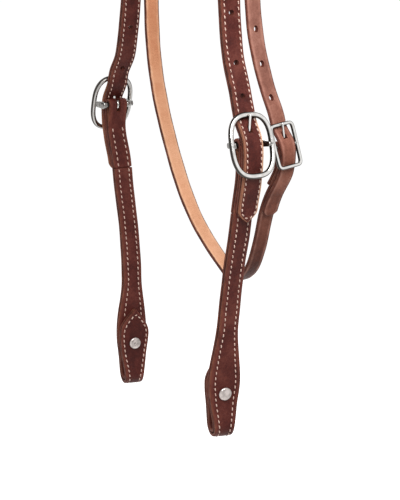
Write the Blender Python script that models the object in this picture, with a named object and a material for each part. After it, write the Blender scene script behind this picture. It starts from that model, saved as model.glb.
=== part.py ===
"""A western headstall of doubled and stitched leather, hanging open as if on a hook.

Lengths are in metres and +Z is up. The horse faces -Y and its near (left) side is +X.
The origin is the middle of the crown's underside, where it rests on the poll.
Every strap follows a rail, a smooth curve with a frame of its own at each point. A route is
drawn beside the rail as pairs (s, n): s runs down along the rail from the buckle's bar, and n
stands off it, outwards from the horse.
"""
import math

import bmesh
import bpy
import numpy as np
from mathutils import Vector

# Leather
LEATHER = 0.0029
LAYER_GAP = 0.0003
FIT_GAP = 0.0003
EDGE_ROUND = 0.0008
STRAP_WIDTH = 0.0159
THROAT_WIDTH = 0.0127
TIP_FLAT = 0.0012
LAYER_HALF = (LEATHER + LAYER_GAP) / 2
PAIR_HALF = LEATHER + LAYER_GAP / 2

# How the headstall hangs
POLL_FLAT = 0.040
POLL_TO_BAR = 0.2185
BAR_HALF_WIDTH = 0.1045
BAR_FORWARD = 0.0013
CHEEK_DROP = 0.230
BIT_HALF_WIDTH = 0.0791
CHEEK_FORWARD = 0.0032
BUCKLE_LEAN = math.radians(15.5)
STRAIGHT_ABOVE_BAR = 0.026
STRAIGHT_BELOW_BAR = 0.014
BIT_TWIST = math.radians(9)
TWIST_LENGTH = 0.120
CROWN_SHARES = ((0.451, 0.030), (0.655, 0.115), (0.730, 0.225), (0.737, 0.300), (0.737, 0.400),
                (0.738, 0.535), (0.764, 0.645), (0.815, 0.745), (0.888, 0.83))
CHEEK_SHARES = ((0.941, 0.182, 0.30), (0.732, 0.292, 0.35), (0.496, 0.388, 0.30),
                (0.299, 0.493, 0.20), (0.134, 0.625, 0.0), (0.043, 0.796, -0.55), (0.0, 1.0, -1.0))

# Cheek buckles: an oval frame that stands off its bar and hangs a little below it
FRAME_WIDTH = 0.0366
FRAME_HEIGHT = 0.0480
FRAME_WIRE_R = 0.0020
FRAME_STAND_OFF = 0.0084
FRAME_LOW = 0.0020
FRAME_TILT = math.radians(1)
FRAME_SQUARENESS = 2.8
BAR_R = 0.00175
BOSS_R = 0.0031
BOSS_LENGTH = 0.0036
BOSS_INSET = 0.0049
BOSS_SPREAD = 0.38
RIVET_HEAD_R = 0.0022
RIVET_HEAD = 0.0003
RIVET_FLAT_SHARE = 0.7
TONGUE_R = 0.0012
TONGUE_TIP_R = 0.0009
TONGUE_OVERHANG = 0.0016
TONGUE_LIFT = math.radians(8)
TONGUE_CURL_START = math.radians(-165)
SHANK_SHARES = (0.12, 0.3, 0.55, 0.8, 1.0)
TONGUE_ROOM = 0.0006
RAIL_ROOM = 0.0005

# Straps at the cheek buckles
FOLD_BACK = 0.054
BILLET_TAIL = 0.058
TAIL_TIP = 0.0095
BILLET_LAG = 0.0018
SLOT_REACH = 0.0060
HOLE_R = 0.0021
NEAR_HOLES_UP = (0.0335, 0.0587, 0.0950)
FAR_HOLES_UP = (0.0330, 0.0695, 0.0950)

# Bit ends
BIT_HOLLOW_R = 0.0034
BIT_FOLD_WIDTH = 0.0152
BIT_WIDEST = 0.0250
BIT_WIDEST_UP = 0.0455
FLARE_UP = 0.090
TAB_UP = 0.0635
TAB_TIP = 0.021
TAB_NARROWER = 0.0005
SCREW_UP = 0.0355
CLOSED_ABOVE_FOLD = 0.022

# Chicago screws
CAP_R = 0.0051
CAP_THICK = 0.0017
CAP_DOME = 0.0005
HEAD_R = 0.0048
HEAD_THICK = 0.0014
BARREL_R = 0.0025
BARREL_WALL = 0.0007
SHANK_SHORT = 0.0010

# Throatlatch
THROAT_BESIDE_CROWN = 0.0177
THROAT_BUCKLE_BACK = 0.0317
THROAT_BAR_IN = 0.0029
THROAT_CROWN_SHARES = ((0.457, 0.035), (0.670, 0.115), (0.753, 0.200))
THROAT_BAR_DROP = 0.2215
THROAT_BELOW_BAR = 0.1135
THROAT_LEAN = math.radians(11)
THROAT_BACKWARD = math.radians(8)
THROAT_STRAIGHT = 0.019
THROAT_NEAR_SHARES = ((0.763, 0.020, 0.27), (0.763, 0.035, 0.42), (0.801, 0.0, 0.56),
                      (0.828, 0.10, 0.66), (0.868, 0.33, 0.762), (0.910, 0.60, 0.845))
THROAT_UNDER_SHARES = ((0.905, 0.983, 0.321), (0.790, 0.893, 0.551), (0.680, 0.893, 0.767),
                       (0.607, 0.893, 0.879), (0.513, 0.893, 0.956), (0.393, 0.893, 1.0),
                       (0.230, 0.893, 0.959), (0.042, 0.893, 0.873), (-0.232, 0.877, 0.714),
                       (-0.448, 0.803, 0.492), (-0.598, 0.661, 0.242))
THROAT_FAR_SHARES = ((-0.686, 0.443, 1.003), (-0.756, 0.169, 0.812), (-0.769, 0.026, 0.605),
                     (-0.7715, 0.0, 0.439), (-0.763, 0.0, 0.250), (-0.670, 0.0, 0.124),
                     (-0.461, 0.0, 0.033))
THROAT_FRAME_WIDTH = 0.0216
THROAT_FRAME_HEIGHT = 0.0340
THROAT_WIRE_R = 0.0014
THROAT_STAND_OFF = 0.0038
THROAT_TILT = math.radians(3)
THROAT_SQUARENESS = 9.0
THROAT_BAR_R = 0.0013
THROAT_BOSS_R = 0.0022
THROAT_BOSS_LENGTH = 0.0024
THROAT_BOSS_INSET = 0.0009
THROAT_BOSS_SPREAD = 0.0
THROAT_RIVET_R = 0.0019
THROAT_TONGUE_R = 0.0010
THROAT_FOLD_BACK = 0.036
THROAT_TAIL = 0.059
THROAT_TIP = 0.0030
THROAT_TIP_SHARE = 0.55
THROAT_SETTLE = 0.0360
THROAT_TONGUE_HOLE = 0.0105
THROAT_HOLE_STEP = 0.0254
THROAT_HOLES = 4

# Browband
BROW_DROP = 0.0880
BROW_REACH = 0.0970
BROW_ROOM = 0.0005
BROW_LOOP_CENTRE_BACK = 0.0245
BROW_CLOSED = 0.0520
BROW_TAB = 0.0660
BROW_FRONT_SHARES = ((0.978, 0.33), (0.84, 0.65), (0.48, 0.905), (0.0, 1.0))

# How finely the solids are faceted
DENSE = 24
FINE = 0.0010
CURL_STEPS = 12
ARC_STEPS = 7
STRAP_STEP = 0.014
CHEEK_STEP = 0.0095
STRAP_TURN = math.radians(7)
WIRE_SIDES = 8
HOLE_SIDES = 12
FRAME_STATIONS = 34
TURNED_SIDES = 20
DOME_STEPS = 3
TIP_STATIONS = 6
CUT_OVER = 0.004

LEATHER_DARK = (0.095, 0.026, 0.018)
LEATHER_RED = (0.230, 0.060, 0.030)
NICKEL = (0.72, 0.70, 0.66)


def smooth_points(knots, start=None, end=None):
    """Dense points of a curve through the knots whose slope and bend are continuous."""
    knots = np.array(knots, float)
    span = np.linalg.norm(np.diff(knots, axis=0), axis=1)
    count = len(knots)
    rows = np.zeros((count, count))
    sums = np.zeros_like(knots)
    steps = np.diff(knots, axis=0) / span[:, None]
    for i in range(1, count - 1):
        rows[i, i - 1:i + 2] = span[i], 2 * (span[i - 1] + span[i]), span[i - 1]
        sums[i] = 3 * (span[i] * steps[i - 1] + span[i - 1] * steps[i])
    for row, near, slope, step in ((0, 1, start, steps[0]), (-1, count - 2, end, steps[-1])):
        rows[row, row] = 1 if slope is not None else 2
        if slope is None:
            rows[row, near] = 1
        sums[row] = slope if slope is not None else 3 * step
    slopes = np.linalg.solve(rows, sums)
    points = []
    for i in range(count - 1):
        for k in range(DENSE):
            t = k / DENSE
            a = (1 + 2 * t) * (1 - t) ** 2
            b = t * t * (3 - 2 * t)
            c = t * (1 - t) ** 2 * span[i]
            d = t * t * (t - 1) * span[i]
            points.append(a * knots[i] + b * knots[i + 1] + c * slopes[i] + d * slopes[i + 1])
    points.append(knots[-1])
    return np.array(points)


def run_lengths(points):
    """The distance along a polyline to each of its points."""
    return np.concatenate([[0.0], np.cumsum(np.linalg.norm(np.diff(points, axis=0), axis=1))])


def unit(vectors):
    """The same vectors, each of length one."""
    return vectors / np.linalg.norm(vectors, axis=-1, keepdims=True)


def ease(t):
    """The share 0 to 1 with a flat start and a flat end."""
    t = min(max(t, 0.0), 1.0)
    return t * t * (3 - 2 * t)


class Rail:
    """A smooth curve with, at each distance s along it, a width direction and an outward one."""

    def __init__(self, points, zero, wide, end_twist=0.0, closed=False):
        self.points = np.array(points)
        if closed:
            self.points = np.vstack([self.points, self.points[:1]])
        run = run_lengths(self.points)
        self.length = run[-1]
        self.s = run - run[np.argmin(np.linalg.norm(self.points - zero, axis=1))]
        self.closed = closed
        self.wide = np.array(wide, float)
        self.end_twist = end_twist

    def at(self, s):
        """The point, the direction along, the width direction and the outward direction."""
        step = self.length / len(self.points) / 2
        along = unit(self.line(s + step) - self.line(s - step))
        wide = unit(self.wide - self.wide.dot(along) * along)
        if self.end_twist:
            angle = self.end_twist * ease(1 - (self.s[-1] - s) / TWIST_LENGTH)
            wide = math.cos(angle) * wide + math.sin(angle) * np.cross(along, wide)
        return self.line(s), along, wide, np.cross(along, wide)

    def line(self, s):
        """The point at s, carried on straight past either end."""
        if self.closed:
            s = (s - self.s[0]) % self.length + self.s[0]
        point = np.array([np.interp(s, self.s, self.points[:, i]) for i in range(3)])
        if s > self.s[-1]:
            point = point + unit(self.points[-1] - self.points[-2]) * (s - self.s[-1])
        if s < self.s[0]:
            point = point + unit(self.points[0] - self.points[1]) * (self.s[0] - s)
        return point

    def place(self, route):
        """A route's pairs (s, n) as points in space, with the width direction at each."""
        points = []
        wides = []
        for s, n in route:
            point, _, wide, out = self.at(s)
            points.append(point + n * out)
            wides.append(wide)
        return np.array(points), np.array(wides)


def arc(centre_s, centre_n, radius, start_degrees, end_degrees):
    """Pairs (s, n) round part of a circle; 0 degrees is +s and 90 degrees is +n."""
    angles = np.radians(np.linspace(start_degrees, end_degrees, ARC_STEPS + 1))
    return [(centre_s + radius * math.cos(a), centre_n + radius * math.sin(a)) for a in angles]


def eased(levels):
    """Fine pairs (s, n) through the given ones, level at each and never past them."""
    route = [levels[0]]
    for (s0, n0), (s1, n1) in zip(levels, levels[1:]):
        count = math.ceil(abs(s1 - s0) / FINE)
        for k in range(1, count + 1):
            route.append((s0 + (s1 - s0) * k / count, n0 + (n1 - n0) * ease(k / count)))
    return route


def add_material(name, colour, roughness, metallic):
    """A plain material in the part's colour."""
    material = bpy.data.materials.new(name)
    material.use_nodes = True
    shader = material.node_tree.nodes["Principled BSDF"]
    shader.inputs["Base Color"].default_value = (*colour, 1.0)
    shader.inputs["Roughness"].default_value = roughness
    shader.inputs["Metallic"].default_value = metallic
    return material


def add_object(name, bm, colour, roughness=0.5, metallic=0.0, origin=None, sharp=math.radians(40)):
    """A mesh object from a bmesh, shaded smooth but for its sharp edges."""
    bmesh.ops.recalc_face_normals(bm, faces=bm.faces)
    if origin is not None:
        bmesh.ops.translate(bm, verts=bm.verts, vec=-Vector(origin))
    mesh = bpy.data.meshes.new(name)
    bm.to_mesh(mesh)
    bm.free()
    mesh.shade_smooth()
    mesh.set_sharp_from_angle(angle=sharp)
    obj = bpy.data.objects.new(name, mesh)
    if origin is not None:
        obj.location = origin
    mesh.materials.append(add_material(name, colour, roughness, metallic))
    bpy.context.collection.objects.link(obj)
    return obj


def skin_rings(bm, rings, closed=False):
    """Faces between rings of points, with a cap at each end of an open run."""
    loops = [[bm.verts.new(Vector(p)) for p in ring] for ring in rings]
    pairs = list(zip(loops, loops[1:]))
    if closed:
        pairs.append((loops[-1], loops[0]))
    for a, b in pairs:
        for i in range(len(a)):
            j = (i + 1) % len(a)
            bm.faces.new((a[i], a[j], b[j], b[i]))
    if not closed:
        bm.faces.new(loops[0])
        bm.faces.new(loops[-1])


def stations(points, step, tip_start, tip_end):
    """Which of the dense points carry a ring: closer together in bends and towards the tips."""
    run = run_lengths(points)
    along = unit(np.diff(points, axis=0))
    chosen = [0]
    turned = 0.0
    for i in range(1, len(points) - 1):
        turned += math.acos(min(1.0, float(along[i - 1].dot(along[i]))))
        if run[i] - run[chosen[-1]] >= step or turned >= STRAP_TURN:
            chosen.append(i)
            turned = 0.0
    chosen.append(len(points) - 1)
    for tip, from_start in ((tip_start, True), (tip_end, False)):
        for k in range(1, TIP_STATIONS + 1):
            reach = tip * (k / TIP_STATIONS) ** 2
            chosen.append(int(np.argmin(abs(run - (reach if from_start else run[-1] - reach)))))
    chosen = sorted(set(chosen))
    return chosen, run


def ribbon(name, points, wides, width_at, colour, offset=0.0, step=STRAP_STEP, tips=(0.0, 0.0)):
    """A leather strap along dense points: width_at(i, run, total) is its width at point i."""
    chosen, run = stations(points, step, *tips)
    along = unit(np.gradient(points, axis=0))
    half = LEATHER / 2
    rings = []
    for i in chosen:
        wide = unit(wides[i] - wides[i].dot(along[i]) * along[i])
        out = np.cross(along[i], wide)
        side = width_at(i, run[i], run[-1]) / 2
        edge = min(EDGE_ROUND, side / 2)
        corners = ((side - edge, half), (side, half - edge), (side, edge - half), (side - edge, -half))
        outline = list(corners) + [(-w, n) for w, n in reversed(corners)]
        centre = points[i] + offset * out
        rings.append([centre + w * wide + n * out for w, n in outline])
    bm = bmesh.new()
    skin_rings(bm, rings)
    return add_object(name, bm, colour, roughness=0.45)


def tip_width(full, end, reach):
    """The width of a pointed tip at distance reach from its end, for a tip of length end."""
    if reach >= end:
        return full
    return max(TIP_FLAT, full * (1 - (1 - reach / end) ** 2))


def tube_rings(path, radii, sides, wide):
    """Rings round a path that stays square to the direction wide."""
    path = np.array(path)
    along = unit(np.gradient(path, axis=0))
    rings = []
    for point, direction, radius in zip(path, along, radii):
        out = np.cross(direction, wide)
        turns = [2 * math.pi * k / sides for k in range(sides)]
        rings.append([point + radius * (math.cos(a) * out + math.sin(a) * wide) for a in turns])
    return rings


def turned(name, profile, base, axis, wide, colour, origin=None):
    """A solid turned from (radius, height) pairs about the axis through base."""
    out = np.cross(axis, wide)
    bm = bmesh.new()
    rings = []
    for radius, height in profile:
        centre = base + height * axis
        if radius == 0:
            rings.append([bm.verts.new(Vector(centre))])
            continue
        turns = [2 * math.pi * k / TURNED_SIDES for k in range(TURNED_SIDES)]
        ring = [centre + radius * (math.cos(a) * wide + math.sin(a) * out) for a in turns]
        rings.append([bm.verts.new(Vector(p)) for p in ring])
    for a, b in zip(rings, rings[1:]):
        for i in range(TURNED_SIDES):
            j = (i + 1) % TURNED_SIDES
            corners = [a[i % len(a)], a[j % len(a)], b[j % len(b)], b[i % len(b)]]
            bm.faces.new(list(dict.fromkeys(corners)))
    return add_object(name, bm, colour, roughness=0.25, metallic=1.0, origin=origin)


def cutter(name, bm):
    """A hidden solid that a Boolean takes away."""
    obj = add_object(name, bm, LEATHER_DARK)
    obj.hide_render = True
    obj.display_type = "WIRE"
    return obj


def cut(obj, tool):
    """Take the tool away from the object."""
    change = obj.modifiers.new(tool.name, "BOOLEAN")
    change.operation = "DIFFERENCE"
    change.object = tool
    change.solver = "EXACT"


def add_prism(bm, corners, wide, half_width):
    """A closed prism over the corners, reaching half_width each way along wide."""
    skin_rings(bm, [[p - half_width * wide for p in corners], [p + half_width * wide for p in corners]])


def add_round_hole(bm, point, axis, wide, radius, reach):
    """A closed round plug for a punched hole."""
    out = np.cross(axis, wide)
    turns = [2 * math.pi * (k + 0.5) / HOLE_SIDES for k in range(HOLE_SIDES)]
    ring = [point + radius * (math.cos(a) * wide + math.sin(a) * out) for a in turns]
    skin_rings(bm, [[p - reach * axis for p in ring], [p + reach * axis for p in ring]])


class Buckle:
    """A centre-bar buckle: sizes, and the frame's own flat axes through the middle of its bar."""

    def __init__(self, rail, width, height, wire, stand_off, low, tilt, squareness, bar, boss,
                 boss_length, boss_inset, boss_spread, rivet, tongue):
        self.middle, self.down, self.wide, self.out = rail.at(0.0)
        self.half_wide = width / 2 - wire
        self.half_high = height / 2 - wire
        self.wire = wire
        self.stand_off = stand_off
        self.low = low
        self.tilt = tilt
        self.squareness = squareness
        self.bar = bar
        self.boss = boss
        self.boss_length = boss_length
        self.boss_at = self.half_wide - boss_inset
        self.boss_spread = boss_spread
        self.rivet = rivet
        self.tongue = tongue

    def point(self, w, s, n):
        """A point in space from the buckle's own flat sizes."""
        return self.middle + w * self.wide + s * self.down + n * self.out

    def tilted(self, s):
        """Where the frame lies at height s from its own middle, as a pair (s, n)."""
        return ((s + self.low) * math.cos(self.tilt) - self.stand_off * math.sin(self.tilt),
                self.stand_off * math.cos(self.tilt) + (s + self.low) * math.sin(self.tilt))

    def top_rail(self):
        """The upper rail's centre as a pair (s, n)."""
        return self.tilted(-self.half_high)

    def low_rail(self):
        """The lower rail's centre as a pair (s, n)."""
        return self.tilted(self.half_high)

    def fold_radius(self):
        """The radius of a leather layer's middle where it folds round the bar."""
        return self.bar + FIT_GAP + LEATHER / 2

    def stack(self, half):
        """Where a billet of this half thickness lies: at the top rail, the bar and the low rail."""
        top = self.top_rail()[1] - self.wire - RAIL_ROOM - half
        low = self.low_rail()[1] - self.wire - RAIL_ROOM - half
        return top, self.fold_radius() + LEATHER / 2 + LAYER_GAP + half, low

    def tongue_path(self, lift=0.0, grow=0.0):
        """The tongue's middle line as pairs (s, n), from its curled root to its tip."""
        curl = self.bar + FIT_GAP + self.tongue
        clear = self.wire + FIT_GAP + self.tongue
        top_s, top_n = self.top_rail()
        leave = math.atan2(top_n, top_s) - math.acos((curl - clear) / math.hypot(top_s, top_n))
        tip = (top_s + clear * math.cos(leave) - TONGUE_OVERHANG * math.sin(leave),
               top_n + clear * math.sin(leave) + TONGUE_OVERHANG * math.cos(leave))
        root = [(curl * math.cos(a), curl * math.sin(a))
                for a in np.linspace(TONGUE_CURL_START, leave, CURL_STEPS)]
        shank = [(root[-1][0] + (tip[0] - root[-1][0]) * t, root[-1][1] + (tip[1] - root[-1][1]) * t)
                 for t in SHANK_SHARES]
        path = root + shank
        if grow:
            last = np.array(path[-1]) - np.array(path[-2])
            path.append(tuple(np.array(path[-1]) + last / np.linalg.norm(last) * grow))
        cosine = math.cos(lift)
        sine = math.sin(lift)
        return [(s * cosine + n * sine, n * cosine - s * sine) for s, n in path]


def build_buckle(prefix, buckle):
    """The frame with its two bosses, the riveted bar and the tongue of one buckle."""
    frame = bmesh.new()
    rings = []
    power = 2 / buckle.squareness
    for k in range(FRAME_STATIONS):
        angle = 2 * math.pi * k / FRAME_STATIONS
        across = math.cos(angle)
        up = math.sin(angle)
        w = buckle.half_wide * math.copysign(abs(across) ** power, across)
        s, n = buckle.tilted(buckle.half_high * math.copysign(abs(up) ** power, up))
        rings.append((w, s, n))
    path = np.array([buckle.point(*r) for r in rings])
    face = buckle.point(0, *buckle.tilted(buckle.half_high)) - buckle.point(0, *buckle.tilted(0.0))
    face = np.cross(unit(face), buckle.wide)
    loops = []
    for i, point in enumerate(path):
        direction = unit(path[(i + 1) % len(path)] - path[i - 1])
        side = np.cross(direction, face)
        turns = [2 * math.pi * (k + 0.5) / WIRE_SIDES for k in range(WIRE_SIDES)]
        loops.append([point + buckle.wire * (math.cos(a) * side + math.sin(a) * face) for a in turns])
    skin_rings(frame, loops, closed=True)
    frame_object = add_object(prefix + "_buckle_frame", frame, NICKEL, 0.2, 1.0, origin=buckle.middle)

    for index, side in enumerate((-1, 1)):
        stem = bmesh.new()
        centre = side * buckle.boss_at
        rise_s, rise_n = buckle.tilted(0.0)
        corners = arc(0.0, 0.0, buckle.boss, -180, 0)
        corners += arc(rise_s, rise_n, buckle.wire, 0, 180)
        spread = side * buckle.boss_spread
        ends = [centre - buckle.boss_length / 2, centre + buckle.boss_length / 2]
        skin_rings(stem, [[buckle.point(w + spread * n, s, n) for s, n in corners] for w in ends])
        boss = cutter(f"{prefix}_boss_{index}", stem)
        change = frame_object.modifiers.new(boss.name, "BOOLEAN")
        change.operation = "UNION"
        change.object = boss
        change.solver = "EXACT"
    bore = bmesh.new()
    reach = buckle.boss_at + buckle.boss_length
    add_round_hole(bore, buckle.middle, buckle.wide, buckle.down, buckle.bar + FIT_GAP, reach)
    cut(frame_object, cutter(prefix + "_bar_bore", bore))

    end = buckle.boss_at + buckle.boss_length / 2 + buckle.boss_spread * buckle.rivet + FIT_GAP
    flat = buckle.rivet * RIVET_FLAT_SHARE
    profile = [(0, -end - RIVET_HEAD), (flat, -end - RIVET_HEAD),
               (buckle.rivet, -end - RIVET_HEAD / 2), (buckle.rivet, -end), (buckle.bar, -end),
               (buckle.bar, end), (buckle.rivet, end), (buckle.rivet, end + RIVET_HEAD / 2),
               (flat, end + RIVET_HEAD), (0, end + RIVET_HEAD)]
    turned(prefix + "_buckle_bar", profile, buckle.middle, buckle.wide, buckle.out, NICKEL,
           origin=buckle.middle)

    path = buckle.tongue_path()
    radii = [buckle.tongue] * (len(path) - 3)
    radii += list(np.linspace(buckle.tongue, TONGUE_TIP_R * buckle.tongue / TONGUE_R, 3))
    points = [buckle.point(0, s, n) for s, n in path]
    tongue = bmesh.new()
    skin_rings(tongue, tube_rings(points, radii, WIRE_SIDES, buckle.wide))
    add_object(prefix + "_buckle_tongue", tongue, NICKEL, 0.2, 1.0, origin=buckle.middle)


def tongue_slit(name, buckle):
    """The long hole in a billet through which the tongue passes and lifts."""
    low = buckle.tongue_path(0.0, CUT_OVER)
    high = buckle.tongue_path(TONGUE_LIFT, CUT_OVER)
    room = buckle.tongue + TONGUE_ROOM

    def edge(path, side):
        line = np.array(path[-len(SHANK_SHARES) - 2:])
        along = unit(np.gradient(line, axis=0))
        return [(s + side * room * a[1], n - side * room * a[0]) for (s, n), a in zip(line, along)]

    outline = edge(low, -1) + edge(high, 1)[::-1]
    bm = bmesh.new()
    add_prism(bm, [buckle.point(0, s, n) for s, n in outline], buckle.wide, room)
    return cutter(name, bm)


def fold_slot(name, buckle):
    """The slot in a strap's fold that makes room for the tongue's root."""
    reach = buckle.fold_radius() + LEATHER
    room = buckle.tongue + TONGUE_ROOM
    corners = [(-reach, -reach), (SLOT_REACH, -reach), (SLOT_REACH, reach), (-reach, reach)]
    bm = bmesh.new()
    add_prism(bm, [buckle.point(0, s, n) for s, n in corners], buckle.wide, room)
    return cutter(name, bm)


def side_rail(side):
    """The rail of one side, from the middle of the poll over the buckle's bar to the bit fold."""
    centre_z = PAIR_HALF
    bar = np.array((side * BAR_HALF_WIDTH, -BAR_FORWARD, centre_z - POLL_TO_BAR))
    lean = np.array((side * math.sin(BUCKLE_LEAN), 0.0, -math.cos(BUCKLE_LEAN)))
    flat_end = np.array((side * POLL_FLAT / 2, 0.0, centre_z))
    top = [flat_end]
    for across, drop in CROWN_SHARES:
        top.append((side * across * BAR_HALF_WIDTH, 0.0, centre_z - drop * POLL_TO_BAR))
    top.append(bar - STRAIGHT_ABOVE_BAR * lean)
    low = [bar + STRAIGHT_BELOW_BAR * lean]
    for across, drop, back in CHEEK_SHARES:
        x = BIT_HALF_WIDTH + across * (BAR_HALF_WIDTH - BIT_HALF_WIDTH)
        low.append((side * x, back * CHEEK_FORWARD - BAR_FORWARD, bar[2] - drop * CHEEK_DROP))
    flat = [np.array((0.0, 0.0, centre_z)), flat_end]
    points = np.vstack([flat[:1], smooth_points(top, (side, 0, 0), lean), bar[None],
                        smooth_points(low, lean)])
    return Rail(points, bar, (0, side, 0), BIT_TWIST)


def throat_rail():
    """The throatlatch's closed rail: down the near side, under the throat and up the far side."""
    centre_z = LEATHER / 2
    bar_out = BAR_HALF_WIDTH - THROAT_BAR_IN
    bar = np.array((bar_out, THROAT_BUCKLE_BACK, centre_z - THROAT_BAR_DROP))
    lean = unit(np.array((math.sin(THROAT_LEAN), math.sin(THROAT_BACKWARD), -math.cos(THROAT_LEAN))))
    back = THROAT_BUCKLE_BACK - THROAT_BESIDE_CROWN
    flat = POLL_FLAT / 2
    down = [(flat, THROAT_BESIDE_CROWN, centre_z)]
    for across, drop in THROAT_CROWN_SHARES:
        down.append((across * bar_out, THROAT_BESIDE_CROWN, centre_z - drop * POLL_TO_BAR))
    for across, rear, drop in THROAT_NEAR_SHARES:
        down.append((across * bar_out, THROAT_BESIDE_CROWN + rear * back,
                     centre_z - drop * THROAT_BAR_DROP))
    down.append(bar - THROAT_STRAIGHT * lean)
    under = [bar + THROAT_STRAIGHT / 2 * lean]
    for across, rear, below in THROAT_UNDER_SHARES:
        under.append((across * bar_out, THROAT_BESIDE_CROWN + rear * back,
                      bar[2] - below * THROAT_BELOW_BAR))
    for across, rear, drop in THROAT_FAR_SHARES:
        under.append((across * bar_out, THROAT_BESIDE_CROWN + rear * back,
                      centre_z - drop * THROAT_BAR_DROP))
    under.append((-flat, THROAT_BESIDE_CROWN, centre_z))
    points = np.vstack([smooth_points(down, (1, 0, 0), lean), bar[None],
                        smooth_points(under, lean, (1, 0, 0))])
    return Rail(points, bar, (0, 1, 0), closed=True)


def billet_levels(buckle, half):
    """A billet past its buckle, as levels (s, n): behind both rails and over the folded bar."""
    top, bar, low = buckle.stack(half)
    return [(buckle.top_rail()[0], top), (0.0, bar), (BILLET_LAG, bar),
            (buckle.low_rail()[0] + BILLET_LAG, low)]


def bar_fold(buckle, inner, outer, start):
    """A strap's fold round the bar as fine pairs (s, n): up the inner run and down the outer."""
    radius = buckle.fold_radius()
    low_s = buckle.low_rail()[0]
    route = eased([(start, inner), (low_s, inner), (0.0, -radius)])
    route += arc(0.0, 0.0, radius, -90, -270)[1:-1]
    return route + eased([(0.0, radius), (low_s, outer)])


def bit_fold(rail, level, offset, start):
    """The bit loop of the layer at this offset from the pair's level, as fine pairs (s, n)."""
    middle = level - PAIR_HALF - LAYER_GAP / 2
    radius = BIT_HOLLOW_R + LEATHER + LAYER_GAP / 2
    centre = rail.s[-1] - radius - PAIR_HALF
    closed = centre - CLOSED_ABOVE_FOLD
    down = [(start, level + offset), (closed, level + offset), (centre, middle + radius + offset)]
    tab = 2 * middle - level - offset
    up = [(centre, middle - radius - offset), (closed, tab), (rail.s[-1] - TAB_UP, tab)]
    return eased(down) + arc(centre, middle, radius + offset, 90, -90)[1:-1] + eased(up)


def bit_width(rail, s):
    """The cheek's width at s, with the flare above the bit loop."""
    up = rail.s[-1] - s
    if up >= FLARE_UP:
        return STRAP_WIDTH
    if up >= BIT_WIDEST_UP:
        share = math.cos(math.pi / 2 * (up - BIT_WIDEST_UP) / (FLARE_UP - BIT_WIDEST_UP)) ** 2
        return STRAP_WIDTH + (BIT_WIDEST - STRAP_WIDTH) * share
    share = math.sin(math.pi / 2 * max(up, 0.0) / BIT_WIDEST_UP) ** 2
    return BIT_FOLD_WIDTH + (BIT_WIDEST - BIT_FOLD_WIDTH) * share


def cheek_level(buckle):
    """How far off the rail the middle of the cheek's two layers lies, under the billet's tail."""
    return buckle.stack(PAIR_HALF)[2] - 2 * PAIR_HALF - LAYER_GAP


def cheek_layer(name, rail, route):
    """One leather layer of a cheek, with the flare, the bit loop and the pointed tab."""
    points, wides = rail.place(route)
    bottom = max(range(len(route)), key=lambda i: route[i][0])

    def width_at(i, run, total):
        width = bit_width(rail, route[i][0])
        if i <= bottom:
            return width
        narrower = TAB_NARROWER * ease((rail.s[-1] - route[i][0]) / BIT_WIDEST_UP)
        return tip_width(width - narrower, TAB_TIP, total - run)

    return ribbon(name, points, wides, width_at, LEATHER_DARK, step=CHEEK_STEP, tips=(0.0, TAB_TIP))


def build_cheek(prefix, rail, buckle):
    """One cheek piece: the folded outer layer, its lining and the screw that closes the bit loop."""
    level = cheek_level(buckle)
    fold = bar_fold(buckle, level - LAYER_HALF, level + LAYER_HALF, FOLD_BACK)
    loop = bit_fold(rail, level, LAYER_HALF, fold[-1][0])
    outer = cheek_layer(prefix + "_cheek_outer", rail, fold + loop[1:])
    lining_route = bit_fold(rail, level, -LAYER_HALF, FOLD_BACK + LAYER_GAP)
    lining = cheek_layer(prefix + "_cheek_lining", rail, lining_route)
    cut(outer, fold_slot(prefix + "_fold_slot", buckle))

    point, _, wide, out = rail.at(rail.s[-1] - SCREW_UP)
    middle = point + (level - PAIR_HALF - LAYER_GAP / 2) * out
    hole = bmesh.new()
    add_round_hole(hole, middle, out, wide, BARREL_R + FIT_GAP, 2 * PAIR_HALF + CUT_OVER)
    plug = cutter(prefix + "_screw_plug", hole)
    cut(outer, plug)
    cut(lining, plug)

    face = 2 * PAIR_HALF + LAYER_GAP / 2 + FIT_GAP
    bore = BARREL_R - BARREL_WALL
    dome = [(CAP_R * math.sin(math.pi / 2 * k / DOME_STEPS),
             face + CAP_THICK - CAP_DOME * (1 - math.cos(math.pi / 2 * k / DOME_STEPS)))
            for k in range(DOME_STEPS + 1)]
    post = dome + [(CAP_R, face), (BARREL_R, face), (BARREL_R, -face + FIT_GAP),
                   (bore, -face + FIT_GAP), (bore, face), (0, face)]
    turned(prefix + "_screw_post", post, middle, out, wide, NICKEL, origin=middle)
    shank = bore - FIT_GAP
    screw = [(0, -face - HEAD_THICK), (HEAD_R - CAP_DOME, -face - HEAD_THICK),
             (HEAD_R, -face - HEAD_THICK + CAP_DOME), (HEAD_R, -face), (shank, -face),
             (shank, face - SHANK_SHORT), (0, face - SHANK_SHORT)]
    turned(prefix + "_screw", screw, middle, out, wide, NICKEL, origin=middle)


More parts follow.
